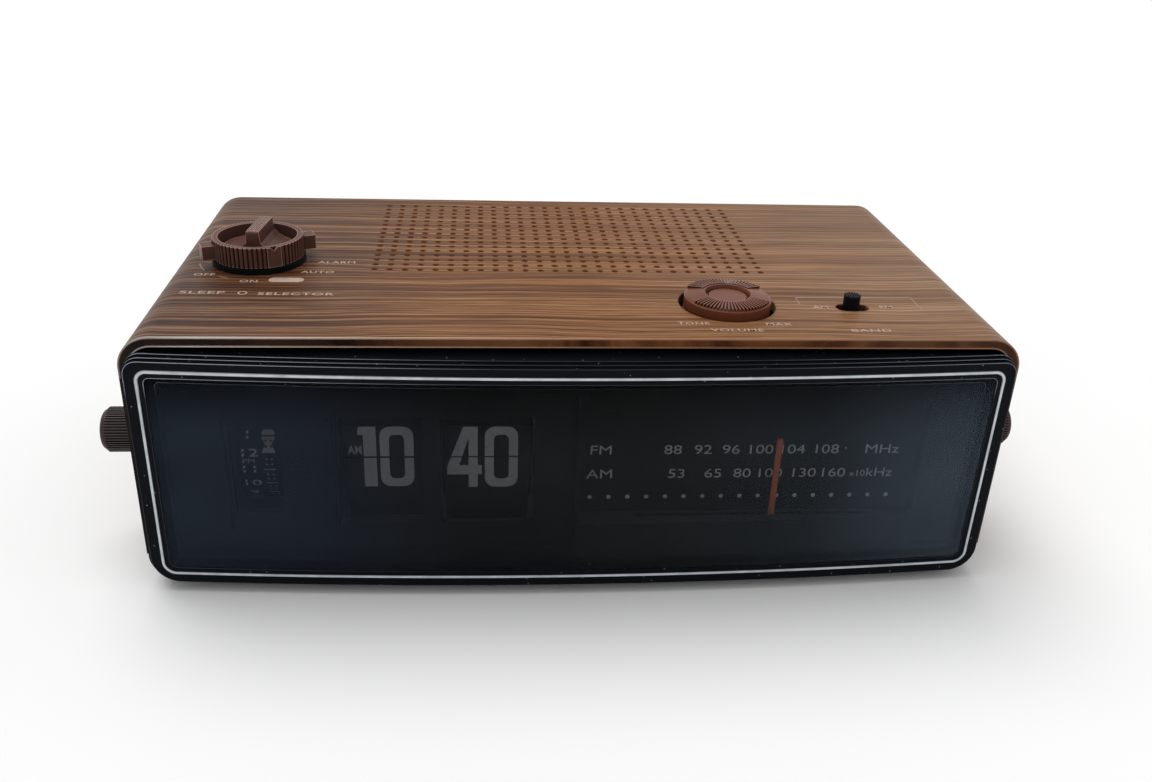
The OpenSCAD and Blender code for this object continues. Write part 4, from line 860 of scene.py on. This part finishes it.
def flip_number(name, count, rest, flap_body, wheel_body, now, coming):
    """Upper half on the standing leaf, lower half on the fallen one, and the next number behind them."""
    fy, fz = pivot(count, 0)
    ly, lz = pivot(count, -1)
    ny, nz = pivot(count, 1)
    lean = 360 / count
    standing = leaf_face(fy, fz)
    fallen = leaf_face(ly, lz, rest)
    behind = leaf_face(ny, nz, lean)
    reverse = flat_on((0, fy + LEAF_T / 2, fz), mirror=-1.0, back=-1.0)
    high, low = SPLIT_Z + SPLIT_GAP, SPLIT_Z - SPLIT_GAP
    set_back = ny - fy + (FLAP_TOP - nz) * math.tan(math.radians(lean))
    hidden_top = FLAP_TOP - nz - SIGHT_DROP * set_back
    upper, lower, hidden, turned = Print(), Print(), Print(), Print()
    for digit, x in now:
        upper.add(glyph(digit, x), standing, above=high - fz, at=(0, -fz))
        lower.add(glyph(digit, x), fallen, below=low - lz, at=(0, -lz))
    for digit, x in coming:
        hidden.add(glyph(digit, x), behind, hidden_top, high - fz, at=(0, -fz))
        turned.add(glyph(digit, x), reverse, below=low - lz, at=(0, -lz))
    if name == "hour":
        words = lettering(HALF_DAY, HALF_DAY_CAP, HALF_DAY_WIDE, HALF_DAY_WEIGHT)
        upper.add(words, standing, at=(HALF_DAY_AT[0], HALF_DAY_AT[1] - fz))
    upper.make(name + "_digits_upper", flap_body, "leaf_black", DIGIT_INK)
    lower.make(name + "_digits_lower", wheel_body, "leaf_black", DIGIT_INK)
    hidden.make(name + "_digits_next", wheel_body, "leaf_black", DIGIT_INK)
    turned.make(name + "_digits_turned", flap_body, "leaf_black", DIGIT_INK)


flip_number("hour", HOUR_LEAVES, HOUR_REST, "falling_hour", "hour_wheel", HOUR_NOW, HOUR_NEXT)
flip_number("minute", MINUTE_LEAVES, MINUTE_REST, "falling_minute", "minute_wheel", MINUTE_NOW, MINUTE_NEXT)

# Alarm drum: the hours round it, words for the halves of the day, and half-hour marks at their right
DRUM_R = 24.0
DRUM_NUMBER_X = -110.4
DRUM_MARK_X = -103.6
HOUR_ANGLE = 15.0
TWELVE_ANGLE = 8.1
HOUR_CAP = 2.9
HOUR_WIDE = 1.75
DRUM_WORDS = (("AM", 30.5), ("PM", 1.0), ("PM", 210.5), ("AM", 181.0))
DRUM_WORD_CAP = 1.7
DRUM_WORD_WIDE = 1.45

# Marks: in one half of the day a block with four holes, as left, low, right, top and corner; in the other a
# dash and four dots. Holes and dots have half sizes and a corner
MARK_STEPS = 2
MARK_U = (-0.9, 0.9)
BLOCK = (-2.2, 0.0, 2.2, 5.7, 0.3)
HOLE = (0.4, 0.4, 0.3)
HOLE_V = (2.3, 4.3)
DASH = (-2.0, -0.2, 2.0, 0.2, 0.1)
MARK_DOT = (0.35, 0.3, 0.25)
MARK_DOT_V = (2.1, 4.1)


def drum_on(x, angle):
    """Maps (u, v, w) to the drum, at an angle above its front."""

    def to_row(u, v, w):
        a = math.radians(angle) + v / DRUM_R
        reach = DRUM_R + w
        return place(x + u, CLOCK_Y - reach * math.cos(a), CLOCK_Z + reach * math.sin(a))

    return to_row


def alarm_print():
    numbers, marks = Print(), Print()
    for n in range(24):
        angle = TWELVE_ANGLE + HOUR_ANGLE * n
        words = str((n + 11) % 12 + 1)
        numbers.add(lettering(words, HOUR_CAP, HOUR_WIDE), drum_on(DRUM_NUMBER_X, angle))
        beside = drum_on(DRUM_MARK_X, angle)
        if n < 12:
            holes = [centred(u, v, *HOLE, MARK_STEPS) for u in MARK_U for v in HOLE_V]
            marks.add(shape(rounded(*BLOCK, MARK_STEPS), *holes), beside)
        else:
            dots = [centred(u, v, *MARK_DOT, MARK_STEPS) for u in MARK_U for v in MARK_DOT_V]
            for outline in [rounded(*DASH, MARK_STEPS)] + dots:
                marks.add(shape(outline), beside)
    for words, angle in DRUM_WORDS:
        marks.add(lettering(words, DRUM_WORD_CAP, DRUM_WORD_WIDE), drum_on(DRUM_NUMBER_X, angle))
    numbers.make("alarm_numbers", "alarm_setting", "drum_black", DRUM_INK)
    marks.make("alarm_marks", "alarm_setting", "drum_black", MARK_INK)


alarm_print()

# Dial: two rows of stations, units with a place, height and width, a row of dots, and a point after the
# upper row, on the panel's face
PANEL_Y = 2.5
FM_Z = 47.4
AM_Z = 38.1
DIAL_CAP = 3.6
DIAL_WIDE = 1.3
FM_ROW = (("FM", 7.3), ("88", 31.8), ("92", 42.1), ("96", 51.7), ("100", 61.7), ("104", 72.7),
          ("108", 84.6), ("MHz", 104.3))
AM_ROW = (("AM", 7.3), ("53", 33.7), ("65", 46.3), ("80", 56.4), ("100", 65.8), ("130", 77.7),
          ("160", 88.1))
AM_UNITS = (("x10", (97.0, AM_Z - 0.3), 2.4, 1.15), ("kHz", (104.7, AM_Z), DIAL_CAP, 1.2))
DOTS = 17
DOT_X = (4.2, 108.6)
DOT_Z = 29.2
DOT_R = 0.75
POINT_AT = (91.6, FM_Z + 0.6)
POINT_R = 0.3


def dial_print():
    scale = Print()
    face = flat_on((0, PANEL_Y, 0))
    for row, z in ((FM_ROW, FM_Z), (AM_ROW, AM_Z)):
        for words, x in row:
            scale.add(lettering(words, DIAL_CAP, DIAL_WIDE), face, at=(x, z))
    for words, at, height, wide in AM_UNITS:
        scale.add(lettering(words, height, wide), face, at=at)
    for i in range(DOTS):
        x = DOT_X[0] + (DOT_X[1] - DOT_X[0]) * i / (DOTS - 1)
        scale.add(shape(disc(DOT_R)), face, at=(x, DOT_Z))
    scale.add(shape(disc(POINT_R)), face, at=POINT_AT)
    scale.make("dial_print", "housing", "panel_black", DIAL_INK)


dial_print()

# Words beside the top controls, each with its place, height and width
TOP_WORDS = (
    ("OFF", -129.6, 55.2, 2.3, 1.25), ("ON", -113.2, 48.8, 2.3, 1.25), ("AUTO", -90.8, 58.5, 2.3, 1.25),
    ("ALARM", -85.2, 68.8, 2.3, 1.25), ("SLEEP", -126.6, 37.9, 2.3, 1.8),
    ("SELECTOR", -95.4, 36.9, 2.3, 1.6), ("TONE", 37.1, 12.8, 2.2, 1.25), ("VOLUME", 50.6, 7.2, 2.2, 1.4),
    ("MAX", 65.5, 12.3, 2.2, 1.3), ("AM", 84.1, 27.6, 2.2, 1.25), ("FM", 107.4, 28.1, 2.2, 1.25),
    ("BAND", 95.5, 7.3, 2.2, 1.6),
)
TOP_WEIGHT = 0.012
TOP_SPACING = 1.1

# A solid pill and a ring among the selector's words, with half sizes and radii
PILL_AT = (-100.6, 50.4)
PILL_HALF = (6.1, 2.2)
RING_AT = (-113.2, 37.6)
RING_R = (1.6, 1.1)

# Lines: arcs round the selector, in degrees, and a bracket behind the band slider
SELECTOR_AT = (-113.2, 71.0)
ARC_R = 21.0
ARCS = ((193, 214), (238, 249))
LINE_W = 0.4
ACROSS_W = 0.8
BRACKET = ((77.5, 30.5), (77.5, 36.7), (119.4, 37.5), (119.4, 24.5))


def arc(radius, a0, a1, steps=12):
    """Thin curved line as an outline."""
    turns = [math.radians(a0 + (a1 - a0) * i / steps) for i in range(steps + 1)]
    outer = [(radius * math.cos(a), radius * math.sin(a)) for a in turns]
    inner = [((radius - LINE_W) * math.cos(a), (radius - LINE_W) * math.sin(a)) for a in reversed(turns)]
    return outer + inner


def stroke(start, stop):
    """Straight line as an outline, broader where it runs across the cabinet."""
    way = (Vector(stop) - Vector(start)).normalized() * LINE_W / 2
    if abs(way.x) > abs(way.y):
        way *= ACROSS_W / LINE_W
    side = Vector((-way.y, way.x))
    corners = (Vector(start) - way - side, Vector(stop) + way - side, Vector(stop) + way + side,
               Vector(start) - way + side)
    return [tuple(c) for c in corners]


def top_print():
    words_print, lines = Print(), Print()
    for words, x, y, height, wide in TOP_WORDS:
        words_print.add(lettering(words, height, wide, TOP_WEIGHT, TOP_SPACING), top_on, at=(x, y))
    words_print.add(shape(centred(0, 0, *PILL_HALF, PILL_HALF[1] - DISC_GAP)), top_on, at=PILL_AT)
    words_print.add(shape(*(disc(radius) for radius in RING_R)), top_on, at=RING_AT)
    for a0, a1 in ARCS:
        lines.add(shape(arc(ARC_R, a0, a1)), top_on, at=SELECTOR_AT)
    for start, stop in zip(BRACKET, BRACKET[1:]):
        lines.add(shape(stroke(start, stop)), top_on)
    words_print.make("top_print", "housing", "wood_grain", TOP_INK)
    lines.make("top_lines", "housing", "wood_grain", LINE_INK)


top_print()

# Stage: pale floor, soft light from above and behind, and plain white surroundings
FLOOR_HALF = 3000.0
WORLD_LIGHT = 0.55
KEY_FROM = (-0.25, 0.3, 1.0)
KEY_SPREAD = 50
KEY_STRENGTH = 1.65


def make_floor():
    half = FLOOR_HALF * MM
    mesh = bpy.data.meshes.new("floor")
    corners = [(-half, -half, 0), (half, -half, 0), (half, half, 0), (-half, half, 0)]
    mesh.from_pydata(corners, [], [(0, 1, 2, 3)])
    look = Look("floor", linear(252, 252, 252), 0.9, Specular_IOR_Level=0.0)
    tone = look.noise(3, detail=2)
    look.set("Base Color", look.tones(tone, (0.3, (251, 251, 251)), (0.7, (254, 254, 254))))
    mesh.materials.append(look.mat)
    add_object("floor", mesh)


def make_world():
    """White where it is seen, mirrored or seen through, and weaker as light."""
    world = bpy.data.worlds.new("surroundings")
    bpy.context.scene.world = world
    world.use_nodes = True
    tree = world.node_tree
    tree.nodes.clear()
    path = tree.nodes.new("ShaderNodeLightPath")
    seen = path.outputs["Is Camera Ray"]
    for kind in ("Is Glossy Ray", "Is Transmission Ray"):
        either = tree.nodes.new("ShaderNodeMath")
        either.operation = "MAXIMUM"
        tree.links.new(seen, either.inputs[0])
        tree.links.new(path.outputs[kind], either.inputs[1])
        seen = either.outputs[0]
    strength = tree.nodes.new("ShaderNodeMapRange")
    strength.inputs["To Min"].default_value = WORLD_LIGHT
    strength.inputs["To Max"].default_value = 1.0
    tree.links.new(seen, strength.inputs["Value"])
    sky = tree.nodes.new("ShaderNodeBackground")
    sky.inputs["Color"].default_value = (1, 1, 1, 1)
    tree.links.new(strength.outputs["Result"], sky.inputs["Strength"])
    out = tree.nodes.new("ShaderNodeOutputWorld")
    tree.links.new(sky.outputs[0], out.inputs["Surface"])


def make_key():
    data = bpy.data.lights.new("key", "SUN")
    data.angle = math.radians(KEY_SPREAD)
    data.energy = KEY_STRENGTH
    lamp = add_object("key", data)
    lamp.rotation_euler = (-Vector(KEY_FROM)).to_track_quat("-Z", "Y").to_euler()


make_camera()
make_floor()
make_world()
make_key()
bpy.context.scene.view_settings.view_transform = "Standard"
